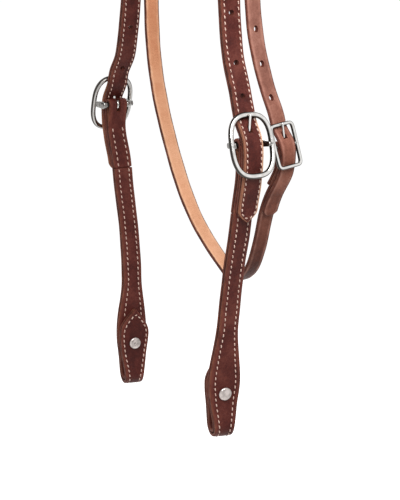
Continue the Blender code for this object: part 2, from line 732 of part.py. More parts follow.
def build_crown(sides):
    """The crown: two layers from the far billet's tip over the poll to the near billet's tip."""
    halves = []
    for _, rail, buckle in sides:
        past = billet_levels(buckle, PAIR_HALF)
        start = [(rail.s[0], 0.0), (past[0][0] - STRAIGHT_ABOVE_BAR, 0.0)]
        halves.append(rail.place(eased(start + past + [(BILLET_TAIL, past[-1][1])])))
    (near, near_wide), (far, far_wide) = halves
    points = np.vstack([far[::-1], near[1:]])
    wides = np.vstack([-far_wide[::-1], near_wide[1:]])

    def width_at(_, run, total):
        return tip_width(STRAP_WIDTH, TAIL_TIP, min(run, total - run))

    layers = []
    for name, offset in (("crown_outer", LAYER_HALF), ("crown_lining", -LAYER_HALF)):
        layers.append(ribbon(name, points, wides, width_at, LEATHER_DARK, offset,
                             tips=(TAIL_TIP, TAIL_TIP)))
    for prefix, rail, buckle in sides:
        holes = bmesh.new()
        for up in NEAR_HOLES_UP if prefix == "near" else FAR_HOLES_UP:
            point, _, wide, out = rail.at(-up)
            add_round_hole(holes, point, out, wide, HOLE_R, PAIR_HALF + CUT_OVER)
        punch = cutter(prefix + "_billet_holes", holes)
        slit = tongue_slit(prefix + "_tongue_slit", buckle)
        for layer in layers:
            cut(layer, punch)
            cut(layer, slit)


def build_throat(rail, buckle):
    """The throatlatch: one strap, folded round its buckle's bar and buckled to its own far end."""
    past = billet_levels(buckle, LEATHER / 2)
    tail = past[-1][1]
    outer = tail - LEATHER - LAYER_GAP
    route = bar_fold(buckle, outer - LEATHER - LAYER_GAP, outer, THROAT_FOLD_BACK)
    around = [(route[-1][0], outer), (THROAT_TAIL + LAYER_GAP, outer),
              (THROAT_TAIL + THROAT_SETTLE, 0.0),
              (rail.length + past[0][0] - THROAT_STRAIGHT, 0.0)]
    around += [(rail.length + s, n) for s, n in past + [(THROAT_TAIL, tail)]]
    points, wides = rail.place(route + eased(around)[1:])

    def width_at(_, run, total):
        reach = total - run
        if reach >= THROAT_TIP:
            return THROAT_WIDTH
        return THROAT_WIDTH * (THROAT_TIP_SHARE + (1 - THROAT_TIP_SHARE) * reach / THROAT_TIP)

    strap = ribbon("throat_strap", points, wides, width_at, LEATHER_RED, tips=(0.0, THROAT_TIP))
    holes = bmesh.new()
    for k in range(1, THROAT_HOLES + 1):
        point, _, wide, out = rail.at(-THROAT_TONGUE_HOLE - k * THROAT_HOLE_STEP)
        add_round_hole(holes, point, out, wide, HOLE_R, LEATHER / 2 + CUT_OVER)
    cut(strap, cutter("throat_holes", holes))
    cut(strap, tongue_slit("throat_tongue_slit", buckle))
    cut(strap, fold_slot("throat_fold_slot", buckle))


def build_browband(crown_x):
    """The browband: an outer layer with a loop at each end, and a lining between the loops."""
    out_x = crown_x + PAIR_HALF + BROW_ROOM + LEATHER / 2
    loop = 2 * (PAIR_HALF + BROW_ROOM + LEATHER / 2)
    height = PAIR_HALF - BROW_DROP
    near = [(out_x, BROW_LOOP_CENTRE_BACK, height), (out_x, 0.0, height),
            (out_x, -STRAP_WIDTH / 2, height)]
    near += [(out_x * across, -BROW_REACH * reach, height) for across, reach in BROW_FRONT_SHARES]
    knots = near + [(-x, y, z) for x, y, z in reversed(near[:-1])]
    rail = Rail(smooth_points(knots, (0, -1, 0), (0, 1, 0)), knots[0], (0, 0, -1))
    total = rail.length
    back = LEATHER + LAYER_GAP
    crown_front = BROW_LOOP_CENTRE_BACK + STRAP_WIDTH / 2 + BROW_ROOM
    near_end = eased([(BROW_TAB, -back), (BROW_CLOSED, -back), (crown_front, -loop), (0.0, -loop)])
    near_end += arc(0.0, -loop / 2, loop / 2, -90, -270)[1:-1]
    far_end = [(total - s, n) for s, n in reversed(near_end)]
    points, wides = rail.place(near_end + eased([(0.0, 0.0), (total, 0.0)]) + far_end)

    def width_at(_, run, total_run):
        return STRAP_WIDTH

    ribbon("browband_outer", points, wides, width_at, LEATHER_DARK)
    start = BROW_TAB + LAYER_GAP
    points, wides = rail.place(eased([(start, -back), (total - start, -back)]))
    ribbon("browband_lining", points, wides, width_at, LEATHER_DARK)


def main():
    """Build every piece of the headstall."""
    for obj in list(bpy.data.objects):
        bpy.data.objects.remove(obj, do_unlink=True)
    sides = []
    for prefix, side in (("near", 1), ("far", -1)):
        rail = side_rail(side)
        buckle = Buckle(rail, FRAME_WIDTH, FRAME_HEIGHT, FRAME_WIRE_R, FRAME_STAND_OFF, FRAME_LOW,
                        FRAME_TILT, FRAME_SQUARENESS, BAR_R, BOSS_R, BOSS_LENGTH, BOSS_INSET,
                        BOSS_SPREAD, RIVET_HEAD_R, TONGUE_R)
        sides.append((prefix, rail, buckle))
        build_cheek(prefix, rail, buckle)
        build_buckle(prefix, buckle)
    build_crown(sides)
    rail = throat_rail()
    buckle = Buckle(rail, THROAT_FRAME_WIDTH, THROAT_FRAME_HEIGHT, THROAT_WIRE_R, THROAT_STAND_OFF,
                    0.0, THROAT_TILT, THROAT_SQUARENESS, THROAT_BAR_R, THROAT_BOSS_R,
                    THROAT_BOSS_LENGTH, THROAT_BOSS_INSET, THROAT_BOSS_SPREAD, THROAT_RIVET_R,
                    THROAT_TONGUE_R)
    build_throat(rail, buckle)
    build_buckle("throat", buckle)
    build_browband(CROWN_SHARES[4][0] * BAR_HALF_WIDTH)


main()
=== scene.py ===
"""The looks of the western headstall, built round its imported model.

Lengths are in metres in the model's own frame: +Z is up, the horse faces -Y and its near side is +X.
Every strap follows a rail with the same named sizes as its solid. A route beside the rail is drawn
as pairs (s, n): s runs down along the rail from the buckle's bar, and n stands off it, outwards.
"""

import math
import random
from collections import namedtuple

import bmesh
import bpy
import numpy as np
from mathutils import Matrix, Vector


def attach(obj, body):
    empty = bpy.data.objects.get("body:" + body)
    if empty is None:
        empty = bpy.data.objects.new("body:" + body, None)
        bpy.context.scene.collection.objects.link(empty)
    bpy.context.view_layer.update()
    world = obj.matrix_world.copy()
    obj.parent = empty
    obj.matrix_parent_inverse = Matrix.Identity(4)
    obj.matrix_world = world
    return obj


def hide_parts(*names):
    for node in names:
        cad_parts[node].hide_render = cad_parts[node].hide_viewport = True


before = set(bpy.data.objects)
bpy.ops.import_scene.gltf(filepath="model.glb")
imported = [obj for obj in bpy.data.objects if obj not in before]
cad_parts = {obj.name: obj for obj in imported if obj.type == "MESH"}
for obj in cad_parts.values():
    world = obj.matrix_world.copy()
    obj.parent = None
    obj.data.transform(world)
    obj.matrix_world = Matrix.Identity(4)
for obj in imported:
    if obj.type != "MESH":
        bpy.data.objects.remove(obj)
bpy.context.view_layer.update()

# Leather
LEATHER = 0.0029
LAYER_GAP = 0.0003
FIT_GAP = 0.0003
STRAP_WIDTH = 0.0159
THROAT_WIDTH = 0.0127
TIP_FLAT = 0.0012
LAYER_HALF = (LEATHER + LAYER_GAP) / 2
PAIR_HALF = LEATHER + LAYER_GAP / 2

# How the headstall hangs
POLL_FLAT = 0.040
POLL_TO_BAR = 0.2185
BAR_HALF_WIDTH = 0.1045
BAR_FORWARD = 0.0013
CHEEK_DROP = 0.230
BIT_HALF_WIDTH = 0.0791
CHEEK_FORWARD = 0.0032
BUCKLE_LEAN = math.radians(15.5)
STRAIGHT_ABOVE_BAR = 0.026
STRAIGHT_BELOW_BAR = 0.014
BIT_TWIST = math.radians(9)
TWIST_LENGTH = 0.120
CROWN_SHARES = ((0.451, 0.030), (0.655, 0.115), (0.730, 0.225), (0.737, 0.300), (0.737, 0.400),
                (0.738, 0.535), (0.764, 0.645), (0.815, 0.745), (0.888, 0.83))
CHEEK_SHARES = ((0.941, 0.182, 0.30), (0.732, 0.292, 0.35), (0.496, 0.388, 0.30),
                (0.299, 0.493, 0.20), (0.134, 0.625, 0.0), (0.043, 0.796, -0.55), (0.0, 1.0, -1.0))

# Buckles
CHEEK_BUCKLE = {"width": 0.0366, "height": 0.0480, "wire": 0.0020, "stand_off": 0.0084, "low": 0.0020,
                "tilt": math.radians(1), "squareness": 2.8, "flat": 2.0, "bar": 0.00175, "rivet": 0.0022,
                "boss": 0.0031, "boss_length": 0.0036, "boss_inset": 0.0049, "boss_spread": 0.38,
                "tongue": 0.0012}
THROAT_BUCKLE = {"width": 0.0216, "height": 0.0340, "wire": 0.0014, "stand_off": 0.0038, "low": 0.0,
                 "tilt": math.radians(3), "squareness": 9.0, "flat": 3.0, "bar": 0.0013, "rivet": 0.0019,
                 "boss": 0.0022, "boss_length": 0.0024, "boss_inset": 0.0009, "boss_spread": 0.0,
                 "tongue": 0.0010}
RIVET_HEAD = 0.0003
TONGUE_OVERHANG = 0.0016
TONGUE_LIFT = math.radians(8)
TONGUE_CURL_START = math.radians(-165)
TONGUE_ROOM = 0.0006
RAIL_ROOM = 0.0005

# Straps at the cheek buckles
FOLD_BACK = 0.054
BILLET_TAIL = 0.058
TAIL_TIP = 0.0095
BILLET_LAG = 0.0018
SLOT_REACH = 0.0050
HOLE_R = 0.0021
HOLES_UP = {"near": (0.0335, 0.0587, 0.0950), "far": (0.0330, 0.0695, 0.0950)}

# Bit ends
BIT_HOLLOW_R = 0.0034
BIT_FOLD_WIDTH = 0.0152
BIT_WIDEST = 0.0250
BIT_WIDEST_UP = 0.0455
FLARE_UP = 0.090
TAB_UP = 0.0635
TAB_TIP = 0.021
TAB_NARROWER = 0.0005
SCREW_UP = 0.0355
CLOSED_ABOVE_FOLD = 0.022

# Chicago screws; a dome is (inset, depth) pairs and the dimple (radius, depth) pairs
POLE_R = 0.00001
CAP_R = 0.0051
CAP_THICK = 0.0017
CAP_DOME = ((0.0012, 0.0), (0.0010, 0.00003), (0.0004, 0.00042), (0.0001, 0.00075), (0.0, 0.0010))
CAP_CHAMFER = 0.0002
HEAD_R = 0.0048
HEAD_THICK = 0.0014
HEAD_DOME = ((0.0011, 0.0), (0.0006, 0.00012), (0.0002, 0.00045), (0.0, 0.0009))
HEAD_DIMPLE = ((POLE_R, 0.0006), (0.0006, 0.00055), (0.0010, 0.0002), (0.0012, 0.00002), (0.0014, 0.0))
BARREL_R = 0.0025
BARREL_WALL = 0.0007
SHANK_SHORT = 0.0010

# Throatlatch
THROAT_BESIDE_CROWN = 0.0177
THROAT_BUCKLE_BACK = 0.0317
THROAT_BAR_IN = 0.0029
THROAT_CROWN_SHARES = ((0.457, 0.0, 0.035), (0.670, 0.0, 0.115), (0.753, 0.0, 0.200))
THROAT_BAR_DROP = 0.2215
THROAT_BELOW_BAR = 0.1135
THROAT_LEAN = math.radians(11)
THROAT_BACKWARD = math.radians(8)
THROAT_STRAIGHT = 0.019
THROAT_NEAR_SHARES = ((0.763, 0.020, 0.27), (0.763, 0.035, 0.42), (0.801, 0.0, 0.56),
                      (0.828, 0.10, 0.66), (0.868, 0.33, 0.762), (0.910, 0.60, 0.845))
THROAT_UNDER_SHARES = ((0.905, 0.983, 0.321), (0.790, 0.893, 0.551), (0.680, 0.893, 0.767),
                       (0.607, 0.893, 0.879), (0.513, 0.893, 0.956), (0.393, 0.893, 1.0),
                       (0.230, 0.893, 0.959), (0.042, 0.893, 0.873), (-0.232, 0.877, 0.714),
                       (-0.448, 0.803, 0.492), (-0.598, 0.661, 0.242))
THROAT_FAR_SHARES = ((-0.686, 0.443, 1.003), (-0.756, 0.169, 0.812), (-0.769, 0.026, 0.605),
                     (-0.7715, 0.0, 0.439), (-0.763, 0.0, 0.250), (-0.670, 0.0, 0.124),
                     (-0.461, 0.0, 0.033))
THROAT_FOLD_BACK = 0.036
THROAT_TAIL = 0.059
THROAT_TIP = 0.0030
THROAT_TIP_SHARE = 0.55
THROAT_SETTLE = 0.0360
THROAT_TONGUE_HOLE = 0.0105
THROAT_HOLE_STEP = 0.0254
THROAT_HOLES = 4
THROAT_HOLE_R = 0.0014
HOLE_STRETCH = 1.5
HOLE_TAPER = 0.20

# Browband
BROW_DROP = 0.0880
BROW_REACH = 0.0970
BROW_ROOM = 0.0005
BROW_LOOP_CENTRE_BACK = 0.0245
BROW_CLOSED = 0.0520
BROW_TAB = 0.0660
BROW_FRONT_SHARES = ((0.978, 0.33), (0.84, 0.65), (0.48, 0.905), (0.0, 1.0))

# How finely curves are followed
DENSE = 24
FINE = 0.0008
ARC_STEPS = 26
RING_STEP = 0.0011
END_RINGS = (0.00012, 0.0004)
FRAME_STATIONS = 220
FRAME_FINE = 1440
CURL_STEPS = 36
SHANK_STEPS = 30
RIVET_RINGS = 7
WIRE_SIDES = 20
BAR_SIDES = 32
SCREW_SIDES = 64
CUTTER_SIDES = 32
STITCH_SIDES = 8

# Leather surfaces
PLUMP = 0.00010
ROUNDING = 0.0010
ROUND_DEGREES = (90, 67.5, 45, 22.5)
FACE_INSETS = (0.0, 0.0008, 0.0015, 0.0019, 0.0023, 0.0027, 0.0033, 0.0047)
NARROW_CORNER = 0.45
NARROW_HALF = 0.0064
BLUNT_SHARE = 0.72
CROWNING = 0.00022
GROOVE = 0.00022
GROOVE_SPREAD = 0.0005
GROOVE_HALF = 0.0036
GROOVE_FADE = 0.001
WOBBLE = 0.00013
WAVES = (95, 221, 61)
RAW_BEVEL = 0.082
RAW_FADE = 0.010

# Sewing; a stitch is drawn as (share of its length, rise, thickness)
STITCH_INSET = 0.0035
FLARE_INSET = 0.0043
CROWN_INSET = 0.0022
TAB_INSET = 0.0025
TAB_INSET_RUN = 0.03
UNSEWN = -1.0
SEWN_BELOW_BAR = 0.0215
SEWN_FROM = 0.0025
SEAM_INSET = 0.0008
TAB_HIDES = 0.006
ROWS_MEET = 0.0003
STITCH_PITCH = 0.00425
STITCH_SHARE = 0.58
THREAD_R = 0.00044
THREAD_FLATNESS = 0.8
THREAD_SINK = 0.00046
THREAD_RISE = 0.00014
THREAD_SLANT = 0.00016
STITCH_START = ((0.0, -THREAD_SINK, 0.55), (0.06, -THREAD_SINK * 0.35, 0.85), (0.2, THREAD_RISE * 0.7, 1.0))
STITCH_PROFILE = (*STITCH_START, (0.5, THREAD_RISE, 1.08),
                  *((1 - t, rise, thick) for t, rise, thick in reversed(STITCH_START)))

# Small forms of the metal and the cuts
BOSS_BEVEL = 0.0006
BEVEL_MIDDLE = 0.3
BEVEL_AT_WIRE = 0.6
TONGUE_TIP_SHARE = 0.75
TAPER_FROM = 0.45
NOSE_LENGTH = 0.0008
NOSE_STEP = 0.00012
NOSE_STEPS = 6
CUT_OVER = 0.004
SLIT_PAST_TIP = 0.004
SLIT_STATIONS = 7
WELD = 0.0000002
SHARP = math.radians(50)
CAP_SHARP = math.radians(28)
HEAD_SHARP = math.radians(35)

# Noises as (scale, detail, roughness), the scale of the pebbles, and shares that draw noises out
CLOUD = (38.0, 4.0, 0.55)
BLOTCH = (150.0, 5.0, 0.6)
FINE_GRAIN = (900.0, 4.0, 0.6)
STREAK = (620.0, 4.0, 0.65)
FIBRE = (2300.0, 4.0, 0.7)
STAIN = (75.0, 5.0, 0.65)
PEBBLES = 1500.0
STREAK_LENGTH = 0.22
FIBRE_LENGTH = 0.45
HAIRLINE_LENGTH = 0.06

# Looks; a band is (low, high) or (low, high, value at low, value at high), a ridge (middle, width)
WHITE = (1.0, 1.0, 1.0)
FACE_PLACES = (0.40, 0.50, 0.62)
RIM_PLACES = (0.34, 0.50, 0.68)
FACE_CHANGE = (-0.0004, 0.0004)
RIM_END = (0.0014, 0.0024, 1.0, 0.0)
RIM_RAGGED = 0.0012
HANDLED = (0.0025, 0.0019)
HANDLED_LEVELS = (0.35, 0.7, 0.25, 0.85)
WORN_LIGHTER = 1.2
SEAM = (0.0005, 0.0013)
DARK_SEAM = 0.7
FAINT_SEAM = 0.2
SEAM_SHADE = (0.022, 0.008, 0.006)
PALE_LEVELS = (0.3, 0.6, 0.35, 0.75)
PALE_RIM = (0.34, 0.135, 0.075)
BEVEL = (0.00175, 0.00085)
BEVEL_SIDES = (-0.001, 0.001, 0.15, 1.0)
BEVEL_LEVELS = (0.25, 0.5, 0.5, 1.0)
RAW_SHADE = (0.76, 0.46, 0.30)
PEBBLE_EDGE = (0.0, 0.10)
ROUGH_SWING = 0.22
HEIGHT_WAVER = 0.03
# Heights of the throat's painted light: painted shade low on its grain up to a paler painted sheen on top,
# and painted shade towards the top of its tan side
PAINTED_SHADE_TO_SHEEN_SPAN = (-0.325, -0.165)
TAN_TOP_SHADE_SPAN = (-0.27, -0.12)
STAIN_LEVELS = (0.50, 0.66, 0.0, 0.6)
STAIN_SHADE = (0.84, 0.70, 0.62)
LEATHER_SHINE = 0.13
SPOT_LEVELS = (0.68, 0.80, 0.0, 0.30)
SPOT_SHADE = (0.34, 0.31, 0.28)
# Metal: rougher flanks painted dark as a dark reflection, and backs and small parts painted dark as shade
FLANK_RAGGED = 0.18
FLANK_ROUGHER = 0.15
DULL_AND_PAINTED_DARK_FLANK = (0.32, 0.72)
PAINTED_SHADE_BACK = (0.50, 0.80, 0.0, 0.52)
EVEN_DULL_AND_PAINTED_DARK = 0.58

# Camera and studio
LOOK_AT = (0.0, 0.0193, -0.3185)
CAMERA_TURN = math.radians(29)
CAMERA_RISE = math.radians(14)
CAMERA_AWAY = 1.2997
SENSOR = 36.0
LENS = 118.8
FLOOR_Z = -0.90
FLOOR_REACH = 14.0
FLOOR_GLOW = 0.75
WORLD_LIGHT = 0.36
LAMPS = (("key", (0.62, -0.22, 0.30), (0.5, 0.5), 9.0), ("fill", (-1.6, -1.2, 0.5), (1.2, 1.2), 8.0),
         ("rear", (-1.1, 1.0, 0.5), (0.9, 0.9), 15.0))

Face = namedtuple("Face", "dark middle light rough fibrous")


def smooth_points(knots, start=None, end=None):
    """Dense points of a curve through the knots whose slope and bend are continuous."""
    knots = np.array(knots, float)
    span = np.linalg.norm(np.diff(knots, axis=0), axis=1)
    count = len(knots)
    rows = np.zeros((count, count))
    sums = np.zeros_like(knots)
    steps = np.diff(knots, axis=0) / span[:, None]
    for i in range(1, count - 1):
        rows[i, i - 1:i + 2] = span[i], 2 * (span[i - 1] + span[i]), span[i - 1]
        sums[i] = 3 * (span[i] * steps[i - 1] + span[i - 1] * steps[i])
    for row, near, slope, step in ((0, 1, start, steps[0]), (-1, count - 2, end, steps[-1])):
        rows[row, row] = 1 if slope is not None else 2
        if slope is None:
            rows[row, near] = 1
        sums[row] = slope if slope is not None else 3 * step
    slopes = np.linalg.solve(rows, sums)
    points = []
    for i in range(count - 1):
        for k in range(DENSE):
            t = k / DENSE
            a = (1 + 2 * t) * (1 - t) ** 2
            b = t * t * (3 - 2 * t)
            c = t * (1 - t) ** 2 * span[i]
            d = t * t * (t - 1) * span[i]
            points.append(a * knots[i] + b * knots[i + 1] + c * slopes[i] + d * slopes[i + 1])
    points.append(knots[-1])
    return np.array(points)


def run_lengths(points):
    """The distance along a polyline to each of its points."""
    return np.concatenate([[0.0], np.cumsum(np.linalg.norm(np.diff(points, axis=0), axis=1))])


def spots_along(at, run, points):
    """The spots at these distances along a polyline whose points lie at the distances in run."""
    return np.stack([np.interp(at, run, points[:, i]) for i in range(3)], -1)


def unit(vectors):
    """The same vectors, each of length one."""
    return vectors / np.linalg.norm(vectors, axis=-1, keepdims=True)


def ease(t):
    """The share 0 to 1 with a flat start and a flat end."""
    t = min(max(t, 0.0), 1.0)
    return t * t * (3 - 2 * t)


class Rail:
    """A smooth curve with, at each distance s along it, a width direction and an outward one."""

    def __init__(self, points, zero, wide, end_twist=0.0, closed=False):
        self.points = np.array(points)
        if closed:
            self.points = np.vstack([self.points, self.points[:1]])
        run = run_lengths(self.points)
        self.length = run[-1]
        self.s = run - run[np.argmin(np.linalg.norm(self.points - zero, axis=1))]
        self.closed = closed
        self.wide = np.array(wide, float)
        self.end_twist = end_twist

    def at(self, s):
        """The point, the direction along, the width direction and the outward direction."""
        step = self.length / len(self.points) / 2
        along = unit(self.line(s + step) - self.line(s - step))
        wide = unit(self.wide - self.wide.dot(along) * along)
        if self.end_twist:
            angle = self.end_twist * ease(1 - (self.s[-1] - s) / TWIST_LENGTH)
            wide = math.cos(angle) * wide + math.sin(angle) * np.cross(along, wide)
        return self.line(s), along, wide, np.cross(along, wide)

    def line(self, s):
        """The point at s, carried on straight past either end."""
        if self.closed:
            s = (s - self.s[0]) % self.length + self.s[0]
        point = spots_along(s, self.s, self.points)
        if s > self.s[-1]:
            point = point + unit(self.points[-1] - self.points[-2]) * (s - self.s[-1])
        if s < self.s[0]:
            point = point + unit(self.points[0] - self.points[1]) * (self.s[0] - s)
        return point

    def place(self, route):
        """A route's pairs (s, n) as points in space, with the width direction at each."""
        points = []
        wides = []
        for s, n in route:
            point, _, wide, out = self.at(s)
            points.append(point + n * out)
            wides.append(wide)
        return np.array(points), np.array(wides)


def arc(centre_s, centre_n, radius, start_degrees, end_degrees):
    """Pairs (s, n) round part of a circle; 0 degrees is +s and 90 degrees is +n."""
    angles = np.radians(np.linspace(start_degrees, end_degrees, ARC_STEPS + 1))
    return [(centre_s + radius * math.cos(a), centre_n + radius * math.sin(a)) for a in angles]


def eased(levels):
    """Fine pairs (s, n) through the given ones, level at each and never past them."""
    route = [levels[0]]
    for (s0, n0), (s1, n1) in zip(levels, levels[1:]):
        count = math.ceil(abs(s1 - s0) / FINE)
        for k in range(1, count + 1):
            route.append((s0 + (s1 - s0) * k / count, n0 + (n1 - n0) * ease(k / count)))
    return route


def tip_width(full, end, reach):
    """The width of a pointed tip at distance reach from its end, for a tip of length end."""
    if reach >= end:
        return full
    return max(TIP_FLAT, full * (1 - (1 - reach / end) ** 2))


class Buckle:
    """A centre-bar buckle: sizes, and the frame's own flat axes through the middle of its bar."""

    def __init__(self, prefix, rail, sizes):
        self.prefix = prefix
        self.middle, self.down, self.wide, self.out = rail.at(0.0)
        for name, size in sizes.items():
            setattr(self, name, size)
        self.half_wide = self.width / 2 - self.wire
        self.half_high = self.height / 2 - self.wire
        self.boss_at = self.half_wide - self.boss_inset

    def point(self, w, s, n):
        """A point in space from the buckle's own flat sizes."""
        return self.middle + w * self.wide + s * self.down + n * self.out

    def tilted(self, s):
        """Where the frame lies at height s from its own middle, as a pair (s, n)."""
        return ((s + self.low) * math.cos(self.tilt) - self.stand_off * math.sin(self.tilt),
                self.stand_off * math.cos(self.tilt) + (s + self.low) * math.sin(self.tilt))

    def fold_radius(self):
        """The radius of a leather layer's middle where it folds round the bar."""
        return self.bar + FIT_GAP + LEATHER / 2

    def stack(self, half):
        """Where a billet of this half thickness lies: at the top rail, the bar and the low rail."""
        top = self.tilted(-self.half_high)[1] - self.wire - RAIL_ROOM - half
        low = self.tilted(self.half_high)[1] - self.wire - RAIL_ROOM - half
        return top, self.fold_radius() + LEATHER / 2 + LAYER_GAP + half, low

    def tongue_path(self, lift=0.0, grow=0.0, curl_steps=12, shank_steps=5):
        """The tongue's middle line as pairs (s, n), from its curled root to its tip."""
        curl = self.bar + FIT_GAP + self.tongue
        clear = self.wire + FIT_GAP + self.tongue
        top_s, top_n = self.tilted(-self.half_high)
        leave = math.atan2(top_n, top_s) - math.acos((curl - clear) / math.hypot(top_s, top_n))
        tip = (top_s + clear * math.cos(leave) - TONGUE_OVERHANG * math.sin(leave),
               top_n + clear * math.sin(leave) + TONGUE_OVERHANG * math.cos(leave))
        root = [(curl * math.cos(a), curl * math.sin(a))
                for a in np.linspace(TONGUE_CURL_START, leave, curl_steps)]
        start = np.array(root[-1])
        path = root + [tuple(start + (np.array(tip) - start) * k / shank_steps)
                       for k in range(1, shank_steps + 1)]
        if grow:
            last = unit(np.array(path[-1]) - np.array(path[-2]))
            path.append(tuple(np.array(path[-1]) + last * grow))
        cosine, sine = math.cos(lift), math.sin(lift)
        return [(s * cosine + n * sine, n * cosine - s * sine) for s, n in path]


def side_rail(side):
    """The rail of one side, from the middle of the poll over the buckle's bar to the bit fold."""
    centre_z = PAIR_HALF
    bar = np.array((side * BAR_HALF_WIDTH, -BAR_FORWARD, centre_z - POLL_TO_BAR))
    lean = np.array((side * math.sin(BUCKLE_LEAN), 0.0, -math.cos(BUCKLE_LEAN)))
    flat_end = np.array((side * POLL_FLAT / 2, 0.0, centre_z))
    top = [flat_end]
    for across, drop in CROWN_SHARES:
        top.append((side * across * BAR_HALF_WIDTH, 0.0, centre_z - drop * POLL_TO_BAR))
    top.append(bar - STRAIGHT_ABOVE_BAR * lean)
    low = [bar + STRAIGHT_BELOW_BAR * lean]
    for across, drop, back in CHEEK_SHARES:
        x = BIT_HALF_WIDTH + across * (BAR_HALF_WIDTH - BIT_HALF_WIDTH)
        low.append((side * x, back * CHEEK_FORWARD - BAR_FORWARD, bar[2] - drop * CHEEK_DROP))
    flat = [np.array((0.0, 0.0, centre_z)), flat_end]
    points = np.vstack([flat[:1], smooth_points(top, (side, 0, 0), lean), bar[None],
                        smooth_points(low, lean)])
    return Rail(points, bar, (0, side, 0), BIT_TWIST)


def throat_rail():
    """The throatlatch's closed rail: down the near side, under the throat and up the far side."""
    centre_z = LEATHER / 2
    bar_out = BAR_HALF_WIDTH - THROAT_BAR_IN
    bar = np.array((bar_out, THROAT_BUCKLE_BACK, centre_z - THROAT_BAR_DROP))
    lean = unit(np.array((math.sin(THROAT_LEAN), math.sin(THROAT_BACKWARD), -math.cos(THROAT_LEAN))))
    back = THROAT_BUCKLE_BACK - THROAT_BESIDE_CROWN
    flat = POLL_FLAT / 2

    def spots(shares, top, height):
        return [(across * bar_out, THROAT_BESIDE_CROWN + rear * back, top - drop * height)
                for across, rear, drop in shares]

    down = [(flat, THROAT_BESIDE_CROWN, centre_z)]
    down += spots(THROAT_CROWN_SHARES, centre_z, POLL_TO_BAR)
    down += spots(THROAT_NEAR_SHARES, centre_z, THROAT_BAR_DROP)
    down.append(bar - THROAT_STRAIGHT * lean)
    under = [bar + THROAT_STRAIGHT / 2 * lean]
    under += spots(THROAT_UNDER_SHARES, bar[2], THROAT_BELOW_BAR)
    under += spots(THROAT_FAR_SHARES, centre_z, THROAT_BAR_DROP)
    under.append((-flat, THROAT_BESIDE_CROWN, centre_z))
    points = np.vstack([smooth_points(down, (1, 0, 0), lean), bar[None],
                        smooth_points(under, lean, (1, 0, 0))])
    return Rail(points, bar, (0, 1, 0), closed=True)


def billet_levels(buckle, half):
    """A billet past its buckle, as levels (s, n): behind both rails and over the folded bar."""
    top, bar, low = buckle.stack(half)
    return [(buckle.tilted(-buckle.half_high)[0], top), (0.0, bar), (BILLET_LAG, bar),
            (buckle.tilted(buckle.half_high)[0] + BILLET_LAG, low)]


def bar_fold(buckle, inner, outer, start):
    """A strap's fold round the bar as fine pairs (s, n): up the inner run and down the outer."""
    radius = buckle.fold_radius()
    low_s = buckle.tilted(buckle.half_high)[0]
    route = eased([(start, inner), (low_s, inner), (0.0, -radius)])
    route += arc(0.0, 0.0, radius, -90, -270)[1:-1]
    return route + eased([(0.0, radius), (low_s, outer)])


def bit_fold(rail, level, offset, start):
    """The bit loop of the layer at this offset from the pair's level, as fine pairs (s, n)."""
    middle = level - PAIR_HALF - LAYER_GAP / 2
    radius = BIT_HOLLOW_R + LEATHER + LAYER_GAP / 2
    centre = rail.s[-1] - radius - PAIR_HALF
    closed = centre - CLOSED_ABOVE_FOLD
    down = [(start, level + offset), (closed, level + offset), (centre, middle + radius + offset)]
    tab = 2 * middle - level - offset
    up = [(centre, middle - radius - offset), (closed, tab), (rail.s[-1] - TAB_UP, tab)]
    return eased(down) + arc(centre, middle, radius + offset, 90, -90)[1:-1] + eased(up)


def bit_width(rail, s):
    """The cheek's width at s, with the flare above the bit loop."""
    up = rail.s[-1] - s
    if up >= FLARE_UP:
        return STRAP_WIDTH
    if up >= BIT_WIDEST_UP:
        share = math.cos(math.pi / 2 * (up - BIT_WIDEST_UP) / (FLARE_UP - BIT_WIDEST_UP)) ** 2
        return STRAP_WIDTH + (BIT_WIDEST - STRAP_WIDTH) * share
    share = math.sin(math.pi / 2 * max(up, 0.0) / BIT_WIDEST_UP) ** 2
    return BIT_FOLD_WIDTH + (BIT_WIDEST - BIT_FOLD_WIDTH) * share


def cheek_level(buckle):
    """How far off the rail the middle of the cheek's two layers lies, under the billet's tail."""
    return buckle.stack(PAIR_HALF)[2] - 2 * PAIR_HALF - LAYER_GAP


class Value:
    """What a node gives; the signs between such values make maths nodes."""

    def __init__(self, graph, socket):
        self.graph = graph
        self.socket = socket

    def __add__(self, other):
        return self.graph.maths("ADD", self, other)

    def __sub__(self, other):
        return self.graph.maths("SUBTRACT", self, other)

    def __rsub__(self, other):
        return self.graph.maths("SUBTRACT", other, self)

    def __mul__(self, other):
        return self.graph.maths("MULTIPLY", self, other)

    def __abs__(self):
        return self.graph.maths("ABSOLUTE", self)


